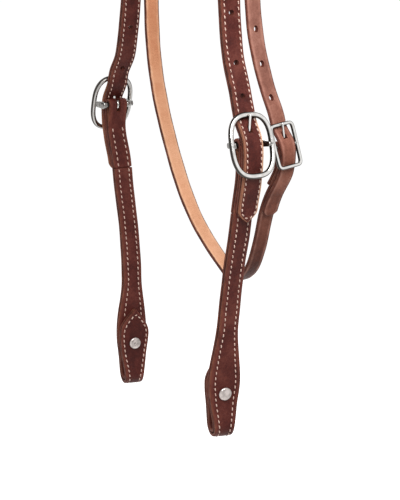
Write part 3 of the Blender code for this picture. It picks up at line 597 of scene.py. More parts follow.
class Graph:
    """The nodes of a material or world, made from short calls."""

    def __init__(self, owner, output="OutputMaterial"):
        owner.use_nodes = True
        self.owner = owner
        self.tree = owner.node_tree
        self.tree.nodes.clear()
        self.output = self.add(output)

    def add(self, kind, settings=None, **sockets):
        """A shader node. A socket goes by its name, or by its number as in i0, and takes a number, a
        colour or a value.
        """
        node = self.tree.nodes.new("ShaderNode" + kind)
        for key, setting in (settings or {}).items():
            setattr(node, key, setting)
        for key, given in sockets.items():
            index = int(key[1:]) if key[0] == "i" and key[1:].isdigit() else key.replace("_", " ")
            socket = node.inputs[index]
            if isinstance(given, Value):
                self.tree.links.new(given.socket, socket)
            else:
                socket.default_value = (*given, 1.0) if socket.type == "RGBA" else given
        return node

    def value(self, kind, settings=None, output=0, **sockets):
        """What a new node gives."""
        return Value(self, self.add(kind, settings, **sockets).outputs[output])

    def solid(self):
        """The object's own coordinates."""
        return self.value("TexCoord", output="Object")

    def uv(self, name):
        """A UV map's coordinates."""
        return self.value("UVMap", {"uv_map": name})

    def parts(self, vector):
        """The three numbers of a vector."""
        return [Value(self, socket) for socket in self.add("SeparateXYZ", Vector=vector).outputs]

    def along(self, vector, share):
        """The vector with its second number shrunk, which draws a noise out that way."""
        return self.value("Mapping", Vector=vector, Scale=(1.0, share, 1.0))

    def noise(self, vector, scale, detail=3.0, roughness=0.55):
        """The height of a noise."""
        return self.value("TexNoise", Vector=vector, Scale=scale, Detail=detail, Roughness=roughness)

    def maths(self, operation, a, b=0.0, clamp=False):
        """The result of an operation on numbers or values."""
        return self.value("Math", {"operation": operation, "use_clamp": clamp}, i0=a, i1=b)

    def band(self, value, low, high, start=0.0, end=1.0, kind="SMOOTHSTEP"):
        """A step of the value between two levels, smooth or linear."""
        return self.value("MapRange", {"interpolation_type": kind}, Value=value, From_Min=low,
                          From_Max=high, To_Min=start, To_Max=end)

    def ridge(self, value, middle, width):
        """One at the middle, falling to nothing at a distance of the width."""
        return self.band(abs(value - middle), 0.0, width, 1.0, 0.0)

    def blend(self, share, a, b, kind="MIX"):
        """Two colours blended."""
        return self.value("Mix", {"data_type": "RGBA", "blend_type": kind}, 2, i0=share, i6=a, i7=b)

    def ramp(self, value, places, colours):
        """The colours at their places, and blends between them."""
        node = self.add("ValToRGB", Fac=value)
        elements = node.color_ramp.elements
        while len(elements) < len(places):
            elements.new(1.0)
        for element, place, colour in zip(elements, places, colours):
            element.position = place
            element.color = (*colour, 1.0)
        return Value(self, node.outputs[0])

    def bump(self, height, strength, distance):
        """The normal of a surface that is this high."""
        return self.value("Bump", Strength=strength, Distance=distance, Height=height)

    def principled(self, **sockets):
        """The material, with a principled surface."""
        return self.finish(self.value("BsdfPrincipled", **sockets))

    def finish(self, shader):
        """The material or world, with this shader on its output."""
        self.tree.links.new(shader.socket, self.output.inputs[0])
        return self.owner


def leather_material(name, top, bottom, rim, painted_light_by_height=None):
    """Leather whose top, bottom and rim each have the shades and roughness of a Face.

    Where the second value of the rim map is above nothing, the bevel of the top is raw and tan.
    Where there are shades by height, they are painted light: the top takes the first two on from the low
    end to the high end of its span of heights, as painted shade low down and a paler, pinker painted sheen
    at the top, and the bottom takes the last one on over its own span, as painted shade towards its top.
    """
    g = Graph(bpy.data.materials.new(name))
    flat = g.uv("strap")
    edge, bared, _ = g.parts(g.uv("rim"))
    solid = g.solid()
    cloud, blotch, fine = [g.noise(solid, *noise) for noise in (CLOUD, BLOTCH, FINE_GRAIN)]
    streak = g.noise(g.along(flat, STREAK_LENGTH), *STREAK)
    fibre = g.noise(g.along(flat, FIBRE_LENGTH), *FIBRE)
    cells = g.value("TexVoronoi", {"feature": "DISTANCE_TO_EDGE"}, Vector=solid, Scale=PEBBLES)

    mottle = cloud * 0.45 + (blotch * 0.3 + fine * 0.25)
    fleshy = mottle * 0.45 + fibre * 0.55
    grain = g.ramp(mottle, FACE_PLACES, top[:3])
    reverse = g.ramp(fleshy if bottom.fibrous else mottle, FACE_PLACES, bottom[:3])
    # Painted light by height: painted shade low on the grain with a paler painted sheen at the top, and
    # painted shade on the top of the tan side
    if painted_light_by_height:
        place = g.parts(solid)[2] + (cloud - 0.5) * HEIGHT_WAVER
        shade = g.ramp(g.band(place, *PAINTED_SHADE_TO_SHEEN_SPAN, kind="LINEAR"), (0.0, 0.5, 1.0), (*painted_light_by_height[:2], WHITE))
        grain = g.blend(1.0, grain, shade, "MULTIPLY")
        reverse = g.blend(g.band(place, *TAN_TOP_SHADE_SPAN), reverse, painted_light_by_height[2], "MULTIPLY")
        stains = g.band(g.noise(solid, *STAIN), *STAIN_LEVELS)
        reverse = g.blend(stains, reverse, STAIN_SHADE, "MULTIPLY")
    side = g.ramp(streak * 0.6 + cloud * 0.4, RIM_PLACES, rim[:3])
    above = g.band(edge, *FACE_CHANGE)
    inwards = abs(edge)
    rim_share = g.band(inwards + (streak - 0.5) * RIM_RAGGED, *RIM_END)
    handled = g.ridge(inwards, *HANDLED) * g.band(blotch, *HANDLED_LEVELS)
    worn = g.blend(above, bottom.light, [WORN_LIGHTER * c for c in top.light])
    face = g.blend(handled, g.blend(above, reverse, grain), worn)
    colour = g.blend(rim_share, face, side)
    joined = edge * (-1.0 if bottom.fibrous else 1.0)
    seam = g.band(joined, *SEAM, 0.0, FAINT_SEAM if painted_light_by_height else DARK_SEAM)
    colour = g.blend(seam * rim_share, colour, SEAM_SHADE)
    colour = g.blend(bared * rim_share * g.band(cloud, *PALE_LEVELS), colour, PALE_RIM)
    bevel = bared * g.ridge(edge, *BEVEL) * g.band(g.parts(flat)[0], *BEVEL_SIDES)
    bevel = g.maths("MULTIPLY", bevel, g.band(streak, *BEVEL_LEVELS), clamp=True)
    colour = g.blend(bevel, colour, RAW_SHADE)

    face_rough = above * (top.rough - bottom.rough) + bottom.rough
    rough = rim_share * (rim.rough - face_rough) + face_rough
    rough = g.maths("ADD", rough, (blotch - 0.5) * ROUGH_SWING, clamp=True)
    height = g.band(cells, *PEBBLE_EDGE) + fine * 0.8
    if bottom.fibrous:
        height = height * above + fibre * 3.0 * (1.0 - above)
    height = height + streak * rim_share * 2.5 + blotch * 0.8
    return g.principled(Base_Color=colour, Roughness=rough, Normal=g.bump(height, 0.55, 0.00012),
                        Specular_IOR_Level=LEATHER_SHINE)


def raw_material(name, *shades):
    """The cut face inside a punched hole."""
    g = Graph(bpy.data.materials.new(name))
    value = g.noise(g.solid(), 1400.0, 4.0, 0.7)
    return g.principled(Base_Color=g.ramp(value, (0.35, 0.7), shades), Roughness=0.8,
                        Normal=g.bump(value, 0.6, 0.0001), Specular_IOR_Level=LEATHER_SHINE)


def thread_material(name, *shades):
    """Waxed thread, twisted, with a little leather dye rubbed in."""
    g = Graph(bpy.data.materials.new(name))
    twist = g.value("TexWave", {"bands_direction": "DIAGONAL"}, 1, Vector=g.uv("thread"), Scale=2.2,
                    Distortion=1.2, Detail=2.0)
    dyed = twist * 0.35 + g.noise(g.solid(), 260.0) * 0.75
    return g.principled(Base_Color=g.ramp(dyed, (0.25, 0.45, 0.75), shades), Roughness=0.62,
                        Normal=g.bump(twist, 0.5, 0.00012), Sheen_Weight=0.15)


def metal_material(name, dark, light, flank, rough_low, rough_high):
    """Polished nickel with faint hairlines, fingermarks, small duller spots and rougher flanks; a painted
    dark reflection on the wire's flanks, and painted shade on its backs and small parts.
    """
    g = Graph(bpy.data.materials.new(name))
    solid = g.solid()
    sideways, backwards, _ = g.parts(g.uv("section"))
    lines = g.noise(g.along(solid, HAIRLINE_LENGTH), 2600.0)
    cloud = g.noise(solid, 240.0, 4.0)
    spots = g.noise(solid, 1100.0, 3.0, 0.7)
    colour = g.ramp(cloud, (0.35, 0.65), (dark, light))
    colour = g.blend(g.band(spots, *SPOT_LEVELS), colour, SPOT_SHADE)
    # The flank colour is painted light: a painted dark reflection on the rougher flanks and painted shade
    # on the backs
    uneven = (cloud - 0.5) * FLANK_RAGGED
    dull_and_painted_dark = g.band(sideways + uneven, *DULL_AND_PAINTED_DARK_FLANK)
    back = g.band(backwards + uneven, *PAINTED_SHADE_BACK)
    colour = g.blend(g.maths("MAXIMUM", dull_and_painted_dark, back), colour, flank)
    rough = g.band(cloud * 0.6 + spots * 0.4, 0.35, 0.68, rough_low, rough_high) + dull_and_painted_dark * FLANK_ROUGHER
    return g.principled(Base_Color=colour, Metallic=1.0, Roughness=rough,
                        Normal=g.bump(lines, 0.10, 0.00003))


def add_object(name, data):
    """An object in the scene."""
    obj = bpy.data.objects.new(name, data)
    bpy.context.collection.objects.link(obj)
    return obj


def add_piece(name, mesh, body, nodes, material, sharp=None):
    """An object that rides on a body and stands for its solids."""
    mesh.shade_smooth()
    if sharp:
        mesh.set_sharp_from_angle(angle=sharp)
    mesh.materials.append(material)
    obj = add_object(name, mesh)
    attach(obj, body)
    if nodes:
        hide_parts(*nodes)
    return obj


def rework(mesh, work):
    """Change a mesh by a function that takes it as a BMesh."""
    bm = bmesh.new()
    bm.from_mesh(mesh)
    work(bm)
    bm.to_mesh(mesh)
    bm.free()


def tube_faces(count, around, closed=False, first=0):
    """The faces of a tube over rings of corners, with a cap at each end unless it is closed."""
    faces = []
    for i in range(count if closed else count - 1):
        low, high = first + i * around, first + (i + 1) % count * around
        for k in range(around):
            m = (k + 1) % around
            faces.append((low + k, low + m, high + m, high + k))
    if not closed:
        faces.append(tuple(range(first + around - 1, first - 1, -1)))
        faces.append(tuple(range(first + (count - 1) * around, first + count * around)))
    return faces


def closed_mesh(name, points, faces, uvs):
    """A mesh whose normals point outwards, with named UV maps that hold a pair for each point."""
    mesh = bpy.data.meshes.new(name)
    mesh.from_pydata(points, [], faces)
    corners = np.zeros(len(mesh.loops), dtype=np.int32)
    mesh.loops.foreach_get("vertex_index", corners)
    for key, values in uvs.items():
        layer = mesh.uv_layers.new(name=key)
        layer.data.foreach_set("uv", values[corners].ravel().astype(np.float32))
    rework(mesh, lambda bm: bmesh.ops.recalc_face_normals(bm, faces=bm.faces))
    return mesh


def grid_mesh(name, rings, uvs, closed=False):
    """A mesh skinned over rings of points (stations x around x 3)."""
    return closed_mesh(name, rings.reshape(-1, 3).tolist(), tube_faces(*rings.shape[:2], closed),
                       {key: values.reshape(-1, 2) for key, values in uvs.items()})


class Layer:
    """One leather layer along a path: its stations, widths and surfaces.

    The width at a station is asked with its place in the path's list of points and its distance along
    the path. The layer is raw up to the given distance from either end.
    """

    def __init__(self, name, points, wides, width_at, offset=0.0, sewn=STITCH_INSET, raw_ends=0.0):
        self.name = name
        self.sewn = sewn
        run = run_lengths(points)
        self.total = total = run[-1]
        even = np.linspace(0.0, total, math.ceil(total / RING_STEP) + 1)
        ends = [end for step in END_RINGS for end in (step, total - step)]
        self.run = at = np.unique([*even, *ends])
        self.index = np.interp(at, run, np.arange(len(points)))
        centre = spots_along(at, run, points)
        wide = spots_along(at, run, wides)
        along = unit(np.gradient(centre, at, axis=0))
        self.wide = unit(wide - (wide * along).sum(1)[:, None] * along)
        self.out = np.cross(along, self.wide)
        self.centre = centre + offset * self.out
        rng = random.Random(name)
        phases = [rng.uniform(0, 2 * math.pi) for _ in WAVES]
        first, second, sway = [np.sin(at * wave + phase) for wave, phase in zip(WAVES, phases)]
        self.half = np.array([width_at(i, r) / 2 for i, r in zip(self.index, at)])
        self.half += (first + second) / 2 * WOBBLE
        self.shift = sway * WOBBLE
        self.thick = LEATHER / 2 + PLUMP
        from_end = np.minimum(at, total - at)
        self.raw = np.clip((raw_ends - from_end) / RAW_FADE, 0.0, 1.0)
        self.blunt = BLUNT_SHARE + (1 - BLUNT_SHARE) * np.sqrt(np.clip(from_end / END_RINGS[-1], 0.0, 1.0))

    def surface(self, i, w, face):
        """A point on the top (1) or bottom (-1) face, at w across station i."""
        return self.centre[i] + (w + self.shift[i]) * self.wide[i] + face * self.thick * self.out[i]

    def quarter(self):
        """The section's right upper quarter from its edge: across, out and rim distance at each corner."""
        half = self.half
        corner = np.minimum(ROUNDING, NARROW_CORNER * half)
        reach = np.maximum(half, NARROW_HALF) - corner
        grooved = np.clip((half - GROOVE_HALF) / GROOVE_FADE, 0.0, 1.0)
        top = self.thick - CROWNING
        corners = []
        for degrees in ROUND_DEGREES:
            a = math.radians(degrees)
            corners.append((half - corner + corner * math.sin(a), top - corner + corner * math.cos(a),
                            top - corner + corner * (math.pi / 2 - a)))
        for inset in FACE_INSETS:
            share = 1 - inset / reach
            dip = GROOVE * math.exp(-((inset + ROUNDING - self.sewn) / GROOVE_SPREAD) ** 2) * grooved
            corners.append(((half - corner) * share, self.thick - CROWNING * share ** 4 - dip,
                            top - corner + corner * math.pi / 2 + inset))
        return corners + [(0 * half, self.thick + 0 * half, top + half)]

    def mesh(self):
        """The layer's closed mesh."""
        corners = self.quarter()
        size = len(corners)
        up, back = list(range(size)), list(range(size - 2, -1, -1))
        order = [(k, 1, 1) for k in up] + [(k, -1, 1) for k in back]
        order += [(k, -1, -1) for k in up] + [(k, 1, -1) for k in back]
        rings = np.zeros((len(self.half), len(order), 3))
        strap = np.zeros((len(self.half), len(order), 2))
        rim = np.zeros_like(strap)
        for j, (k, side, face) in enumerate(order):
            w, n, edge = corners[k]
            w = side * w * self.blunt + self.shift
            n = face * n * self.blunt
            rings[:, j] = self.centre + w[:, None] * self.wide + n[:, None] * self.out
            strap[:, j] = np.stack([w, self.run], 1)
            rim[:, j] = np.stack([face * edge, self.raw], 1)
        return grid_mesh(self.name, rings, {"strap": strap, "rim": rim})

    def add(self, body, material, cutters=(), slot="dark_leather"):
        """The layer's piece, carved, in place of the solid that it is named after."""
        obj = add_piece(self.name, self.mesh(), body, [self.name.removesuffix("_leather")], material)
        if cutters:
            carve(obj, cutters)


def stitch_mesh(name, rows):
    """Every stitch of a piece: short lengths of thread that dive into the leather at both ends."""
    rng = random.Random(name)
    turns = [2 * math.pi * k / STITCH_SIDES for k in range(STITCH_SIDES)]
    verts, faces, uvs = [], [], []
    for row in rows:
        points = np.array([p for p, _ in row])
        normals = np.array([n for _, n in row])
        run = run_lengths(points)
        spare = STITCH_PITCH * (1 - STITCH_SHARE)
        count = int((run[-1] + spare) / STITCH_PITCH)
        pitch = (run[-1] + spare) / max(count, 1)
        for k in range(count):
            a = k * pitch
            b = a + pitch * (STITCH_SHARE + rng.uniform(-0.02, 0.02))
            start, end = spots_along(np.array([a, b]), run, points)
            normal = unit(spots_along((a + b) / 2, run, normals))
            along = end - start
            side = unit(np.cross(normal, along))
            slant = THREAD_SLANT * rng.uniform(0.5, 1.5)
            faces += tube_faces(len(STITCH_PROFILE), STITCH_SIDES, first=len(verts))
            for t, rise, thick in STITCH_PROFILE:
                centre = start + t * along + rise * normal + (2 * t - 1) * slant * side
                for m, turn in enumerate(turns):
                    offset = math.cos(turn) * side + THREAD_FLATNESS * math.sin(turn) * normal
                    verts.append(centre + THREAD_R * thick * offset)
                    uvs.append((m / STITCH_SIDES, t + k))
    return closed_mesh(name, verts, faces, {"thread": np.array(uvs)})


def prism_cutter(corners, axis, half, material, low_corners=None):
    """A closed prism over the corners, reaching half each way along the axis."""
    low_corners = corners if low_corners is None else low_corners
    rings = np.array([[p - half * axis for p in low_corners], [p + half * axis for p in corners]])
    mesh = grid_mesh("cutter", rings, {})
    mesh.materials.append(material)
    return add_object("cutter", mesh)


def round_cutter(point, axis, wide, radius, reach, material, stretch=1.0, taper=0.0):
    """A closed round plug, longer along the strap where it is stretched.

    Its radius at the point grows along the axis by the taper's share of the way.
    """
    out = np.cross(axis, wide)
    turns = np.linspace(0, 2 * math.pi, CUTTER_SIDES + 1)[:-1]
    low, high = [[point + size * (math.cos(a) * wide + stretch * math.sin(a) * out) for a in turns]
                 for size in (radius - taper * reach, radius + taper * reach)]
    return prism_cutter(high, axis, reach, material, low)


def carve(obj, cutters):
    """Take the cutters away from the object's mesh for good, and weld the slivers that this leaves."""
    for tool in cutters:
        change = obj.modifiers.new("cut", "BOOLEAN")
        change.operation = "DIFFERENCE"
        change.object = tool
        change.solver = "EXACT"
        change.material_mode = "TRANSFER"
    graph = bpy.context.evaluated_depsgraph_get()
    mesh = bpy.data.meshes.new_from_object(obj.evaluated_get(graph))
    obj.modifiers.clear()
    obj.data = mesh
    rework(mesh, lambda bm: bmesh.ops.remove_doubles(bm, verts=bm.verts, dist=WELD))
    mesh.set_sharp_from_angle(angle=SHARP)


def drop(cutters):
    """Remove cutters that are used up."""
    for tool in cutters:
        bpy.data.objects.remove(tool)


def tongue_slit(buckle, material):
    """The long hole in a billet through which the tongue passes and lifts."""
    room = buckle.tongue + TONGUE_ROOM

    def edge(lift, side):
        line = np.array(buckle.tongue_path(lift, SLIT_PAST_TIP)[-SLIT_STATIONS:])
        along = unit(np.gradient(line, axis=0))
        return [(s + side * room * a[1], n - side * room * a[0]) for (s, n), a in zip(line, along)]

    outline = edge(0.0, -1) + edge(TONGUE_LIFT, 1)[::-1]
    return prism_cutter([buckle.point(0, s, n) for s, n in outline], buckle.wide, room, material)


def fold_slot(buckle, material):
    """The slot in a strap's fold that makes room for the tongue's root."""
    reach = buckle.fold_radius() + LEATHER
    room = buckle.tongue + TONGUE_ROOM
    corners = [(-reach, -reach), (SLOT_REACH, -reach), (SLOT_REACH, reach), (-reach, reach)]
    return prism_cutter([buckle.point(0, s, n) for s, n in corners], buckle.wide, room, material)


def squared(value, power):
    """A sine or cosine pushed out towards the side of a square by a power below one."""
    return math.copysign(abs(value) ** power, value)


def sweep(name, points, radii, wide, closed=False, face=None, square=2.0, flank=1.0, backs=None):
    """A smooth wire along points; a square above 2 flattens the sides of its section.

    The section map holds how far each corner faces sideways and backwards, times the flank share
    and each station's own share in backs; the metal paints its dark reflection and shade from it.
    """
    if closed:
        along = unit(np.roll(points, -1, 0) - np.roll(points, 1, 0))
    else:
        along = unit(np.gradient(points, axis=0))
    turns = [2 * math.pi * k / WIRE_SIDES for k in range(WIRE_SIDES)]
    section = [(squared(math.cos(a), 2 / square), squared(math.sin(a), 2 / square)) for a in turns]
    rings = []
    for point, direction, radius in zip(points, along, radii):
        if face is None:
            across, up = wide, np.cross(direction, wide)
        else:
            across, up = np.cross(direction, face), face
        rings.append([point + radius * (a * across + b * up) for a, b in section])
    backs = [1.0] * len(rings) if backs is None else backs
    flanks = np.array([[(flank * abs(a), back * max(-b, 0.0)) for a, b in section] for back in backs])
    return grid_mesh(name, np.array(rings), {"section": flanks}, closed=closed)


def turned_rings(profile, base, axis, wide, sides):
    """Rings of a turned solid from (radius, height) pairs."""
    out = np.cross(axis, wide)
    turns = [2 * math.pi * k / sides for k in range(sides)]
    return np.array([[base + h * axis + r * (math.cos(a) * wide + math.sin(a) * out) for a in turns]
                     for r, h in profile])


def merge(name, meshes):
    """Several meshes as one."""
    bm = bmesh.new()
    for mesh in meshes:
        bm.from_mesh(mesh)
        bpy.data.meshes.remove(mesh)
    joined = bpy.data.meshes.new(name)
    bm.to_mesh(joined)
    bm.free()
    return joined


def wire_path(buckle):
    """The frame's closed centre line, evenly spaced, and the direction its flat side faces."""
    power = 2 / buckle.squareness
    points = []
    for k in range(FRAME_FINE + 1):
        angle = 2 * math.pi * (k % FRAME_FINE) / FRAME_FINE
        s, n = buckle.tilted(buckle.half_high * squared(math.sin(angle), power))
        points.append(buckle.point(buckle.half_wide * squared(math.cos(angle), power), s, n))
    run = run_lengths(np.array(points))
    path = spots_along(np.linspace(0, run[-1], FRAME_STATIONS + 1)[:-1], run, np.array(points))
    face = buckle.point(0, *buckle.tilted(buckle.half_high)) - buckle.point(0, *buckle.tilted(0.0))
    return path, np.cross(unit(face), buckle.wide)


def boss_mesh(name, buckle, side):
    """One of the frame's two bosses: a rounded stem between the wire and the bar."""
    rise = buckle.tilted(0.0)
    half = buckle.boss_length / 2
    middle = BOSS_BEVEL * BEVEL_MIDDLE
    rings = [(half, BOSS_BEVEL), (half - middle, middle), (half - BOSS_BEVEL, 0.0)]
    loops = []
    for w, depth in [(-w, d) for w, d in rings] + rings[::-1]:
        corners = arc(0.0, 0.0, buckle.boss - depth, -180, 0)
        corners += arc(*rise, buckle.wire - depth * BEVEL_AT_WIRE, 0, 180)
        loops.append([buckle.point(side * (buckle.boss_at + buckle.boss_spread * n) + w, s, n)
                      for s, n in corners])
    return grid_mesh(name, np.array(loops), even_flank(np.array(loops)))


def even_flank(rings):
    """A section map of one value all over, for small parts that are left rougher and painted darker as
    shade.
    """
    return {"section": np.full((*rings.shape[:2], 2), EVEN_DULL_AND_PAINTED_DARK)}


def build_tongue(buckle):
    """The tongue's mesh, which tapers to a round nose."""
    route = buckle.tongue_path(curl_steps=CURL_STEPS, shank_steps=SHANK_STEPS)
    points = np.array([buckle.point(0, s, n) for s, n in route])
    run = run_lengths(points)
    radii = [buckle.tongue * (1 - (1 - TONGUE_TIP_SHARE)
                              * ease((r / run[-1] - TAPER_FROM) / (1 - TAPER_FROM)))
             for r in run]
    back = unit(points[-2] - points[-1])
    nose = [points[-1] + back * k * NOSE_STEP for k in range(NOSE_STEPS, 0, -1)]
    points = np.vstack([points[run < run[-1] - NOSE_LENGTH], nose, points[-1:]])
    at = run_lengths(points)
    radii = np.interp(at, run, radii)
    blunt = np.sqrt(np.clip(radii ** 2 - np.clip(radii - (at[-1] - at), 0, None) ** 2, 0, None))
    radii = np.maximum(np.minimum(radii, blunt + POLE_R), POLE_R)
    # The tongue's curled back is painted dark as shade, fading out along the shank; its flanks take half
    # the painted dark reflection
    root = [max(1.0 - r / (TAPER_FROM * run[-1]), 0.0) for r in at]
    return sweep("tongue", points, radii, buckle.wide, flank=0.5, backs=root)


def build_metal(buckle, metal, tongue_body):
    """The frame with its bosses, the riveted bar and the tongue of one buckle."""
    path, face = wire_path(buckle)
    meshes = [sweep("wire", path, [buckle.wire] * len(path), buckle.wide, closed=True, face=face,
                    square=buckle.flat)]
    meshes += [boss_mesh("boss", buckle, side) for side in (-1, 1)]
    end = buckle.boss_at + buckle.boss_length / 2 + buckle.boss_spread * buckle.rivet + FIT_GAP
    head = [(max(buckle.rivet * math.sin(a), POLE_R), end + RIVET_HEAD * math.cos(a))
            for a in np.linspace(0, math.pi / 2, RIVET_RINGS)] + [(buckle.bar, end)]
    rings = turned_rings(head + [(r, -h) for r, h in reversed(head)], buckle.middle, buckle.wide,
                         buckle.out, BAR_SIDES)
    bar = grid_mesh("bar", rings, even_flank(rings))
    for kind, mesh, body, sharp in (("frame", merge("frame", meshes), "headpiece", SHARP),
                                    ("bar", bar, "headpiece", SHARP),
                                    ("tongue", build_tongue(buckle), tongue_body, None)):
        node = f"{buckle.prefix}_buckle_{kind}"
        add_piece(f"{buckle.prefix}_{kind}", mesh, body, [node], metal, sharp)


def contour(layer, face, start, end, inset, join_start=False, join_end=False):
    """Stitch rows along both edges of a layer; they meet in a point where an end is joined."""
    slope = np.gradient(layer.half, layer.run)
    rows = []
    for side in (1, -1):
        line = []
        for i, run in enumerate(layer.run):
            if not start <= run <= end:
                continue
            step = inset(run) if callable(inset) else inset
            w = layer.half[i] - step * math.sqrt(1 + slope[i] ** 2)
            if w > ROWS_MEET:
                line.append((layer.surface(i, side * w, face), face * layer.out[i]))
        rows.append(line)
    if join_end:
        return [rows[0] + rows[1][::-1] + (rows[0][:1] if join_start else [])]
    return rows


def add_stitches(name, body, rows, looks):
    """One object with every stitch of a piece."""
    add_piece(name, stitch_mesh(name, rows), body, [], looks["thread"])


def cheek_layers(prefix, rail, buckle):
    """The cheek's outer layer and lining; at_s holds how far down the rail each station lies."""
    level = cheek_level(buckle)
    fold = bar_fold(buckle, level - LAYER_HALF, level + LAYER_HALF, FOLD_BACK)
    routes = {"outer": fold + bit_fold(rail, level, LAYER_HALF, fold[-1][0])[1:],
              "lining": bit_fold(rail, level, -LAYER_HALF, FOLD_BACK + LAYER_GAP)}
    layers = {}
    for kind, route in routes.items():
        points, wides = rail.place(route)
        down = [s for s, _ in route]

        def width_at(index, run, total=run_lengths(points)[-1], down=down):
            s = np.interp(index, np.arange(len(down)), down)
            width = bit_width(rail, s)
            if index <= np.argmax(down):
                return width
            narrower = TAB_NARROWER * ease((rail.s[-1] - s) / BIT_WIDEST_UP)
            return tip_width(width - narrower, TAB_TIP, total - run)

        layers[kind] = Layer(f"{prefix}_cheek_{kind}_leather", points, wides, width_at)
        layers[kind].at_s = np.interp(layers[kind].index, np.arange(len(down)), down)
    return layers


def cheek_rows(rail, outer, lining):
    """The sewing of a cheek: round its tab and folded end outside, and on the lining."""
    top = int(np.argmin(outer.at_s))
    fold_run = outer.run[int(np.argmax(outer.at_s))]
    begin = outer.run[top + int(np.argmax(outer.at_s[top:] > SEWN_BELOW_BAR))]
    back_end = outer.run[int(np.argmax(outer.at_s[:top + 1] <= SEWN_BELOW_BAR))]
    inner_low = lining.run[int(np.argmax(lining.at_s > rail.s[-1] - TAB_UP + TAB_HIDES))]

    def flared(layer, run):
        width = bit_width(rail, np.interp(run, layer.run, layer.at_s))
        share = ease((width - STRAP_WIDTH) / (BIT_WIDEST - STRAP_WIDTH))
        return STITCH_INSET + (FLARE_INSET - STITCH_INSET) * share

    def outer_inset(run):
        inset = flared(outer, run)
        return inset + (TAB_INSET - inset) * ease((run - fold_run) / TAB_INSET_RUN)

    rows = contour(outer, 1, begin, outer.total, outer_inset, join_end=True)
    rows += contour(outer, 1, SEAM_INSET, back_end, STITCH_INSET)
    return rows + contour(lining, -1, SEAM_INSET, inner_low, lambda run: flared(lining, run))


def build_cheek(prefix, rail, buckle, looks):
    """One cheek: the folded outer layer, its lining, their sewing and the screw."""
    body = prefix + "_cheek"
    layers = cheek_layers(prefix, rail, buckle)
    point, _, wide, out = rail.at(rail.s[-1] - SCREW_UP)
    middle = point + (cheek_level(buckle) - PAIR_HALF - LAYER_GAP / 2) * out
    cutters = [round_cutter(middle, out, wide, BARREL_R + FIT_GAP, 2 * PAIR_HALF + CUT_OVER, looks["raw"]),
               fold_slot(buckle, looks["raw"])]
    for kind, grain, tools in (("outer", "grain_out", cutters), ("lining", "grain_in", cutters[:1])):
        layers[kind].add(body, looks[grain], tools)
    drop(cutters)
    rows = cheek_rows(rail, layers["outer"], layers["lining"])
    add_stitches(prefix + "_cheek_stitches", body, rows, looks)

    face = 2 * PAIR_HALF + LAYER_GAP / 2 + FIT_GAP
    bore = BARREL_R - BARREL_WALL
    post = [(POLE_R, face + CAP_THICK)]
    post += [(CAP_R - inset, face + CAP_THICK - down) for inset, down in CAP_DOME]
    post += [(CAP_R, face + CAP_CHAMFER), (CAP_R - CAP_CHAMFER, face), (BARREL_R, face),
             (BARREL_R, -face + FIT_GAP), (bore, -face + FIT_GAP), (bore, face), (POLE_R, face)]
    low = -face - HEAD_THICK
    shank = bore - FIT_GAP
    head = [(r, low + up) for r, up in HEAD_DIMPLE]
    head += [(HEAD_R - inset, low + up) for inset, up in HEAD_DOME]
    head += [(HEAD_R, -face), (shank, -face), (shank, face - SHANK_SHORT), (POLE_R, face - SHANK_SHORT)]
    for kind, node, profile, sharp in (("cap", "screw_post", post, CAP_SHARP),
                                       ("head", "screw", head, HEAD_SHARP)):
        mesh = grid_mesh(kind, turned_rings(profile, middle, out, wide, SCREW_SIDES), {})
        add_piece(f"{prefix}_screw_{kind}", mesh, body, [f"{prefix}_{node}"], looks["cap"], sharp)


def build_crown(sides, looks):
    """The crown's two layers with their holes, slits and sewing."""
    halves = []
    cutters = []
    for prefix, rail, buckle in sides:
        past = billet_levels(buckle, PAIR_HALF)
        start = [(rail.s[0], 0.0), (past[0][0] - STRAIGHT_ABOVE_BAR, 0.0)]
        halves.append(rail.place(eased(start + past + [(BILLET_TAIL, past[-1][1])])))
        for up in HOLES_UP[prefix]:
            point, _, wide, out = rail.at(-up)
            cutters.append(round_cutter(point, out, wide, HOLE_R, PAIR_HALF + CUT_OVER, looks["raw"]))
        cutters.append(tongue_slit(buckle, looks["raw"]))
    (near, near_wide), (far, far_wide) = halves
    points = np.vstack([far[::-1], near[1:]])
    wides = np.vstack([-far_wide[::-1], near_wide[1:]])
    total = run_lengths(points)[-1]

    def width_at(_, run):
        return tip_width(STRAP_WIDTH, TAIL_TIP, min(run, total - run))

    rows = []
    for kind, face, grain, raw in (("outer", 1, "grain_out", RAW_BEVEL), ("lining", -1, "lining_in", 0.0)):
        layer = Layer(f"crown_{kind}_leather", points, wides, width_at, face * LAYER_HALF, CROWN_INSET, raw)
        layer.add("headpiece", looks[grain], cutters)
        rows += contour(layer, face, 0.0, layer.total, CROWN_INSET, join_start=True, join_end=True)
    drop(cutters)
    add_stitches("crown_stitches", "headpiece", rows, looks)


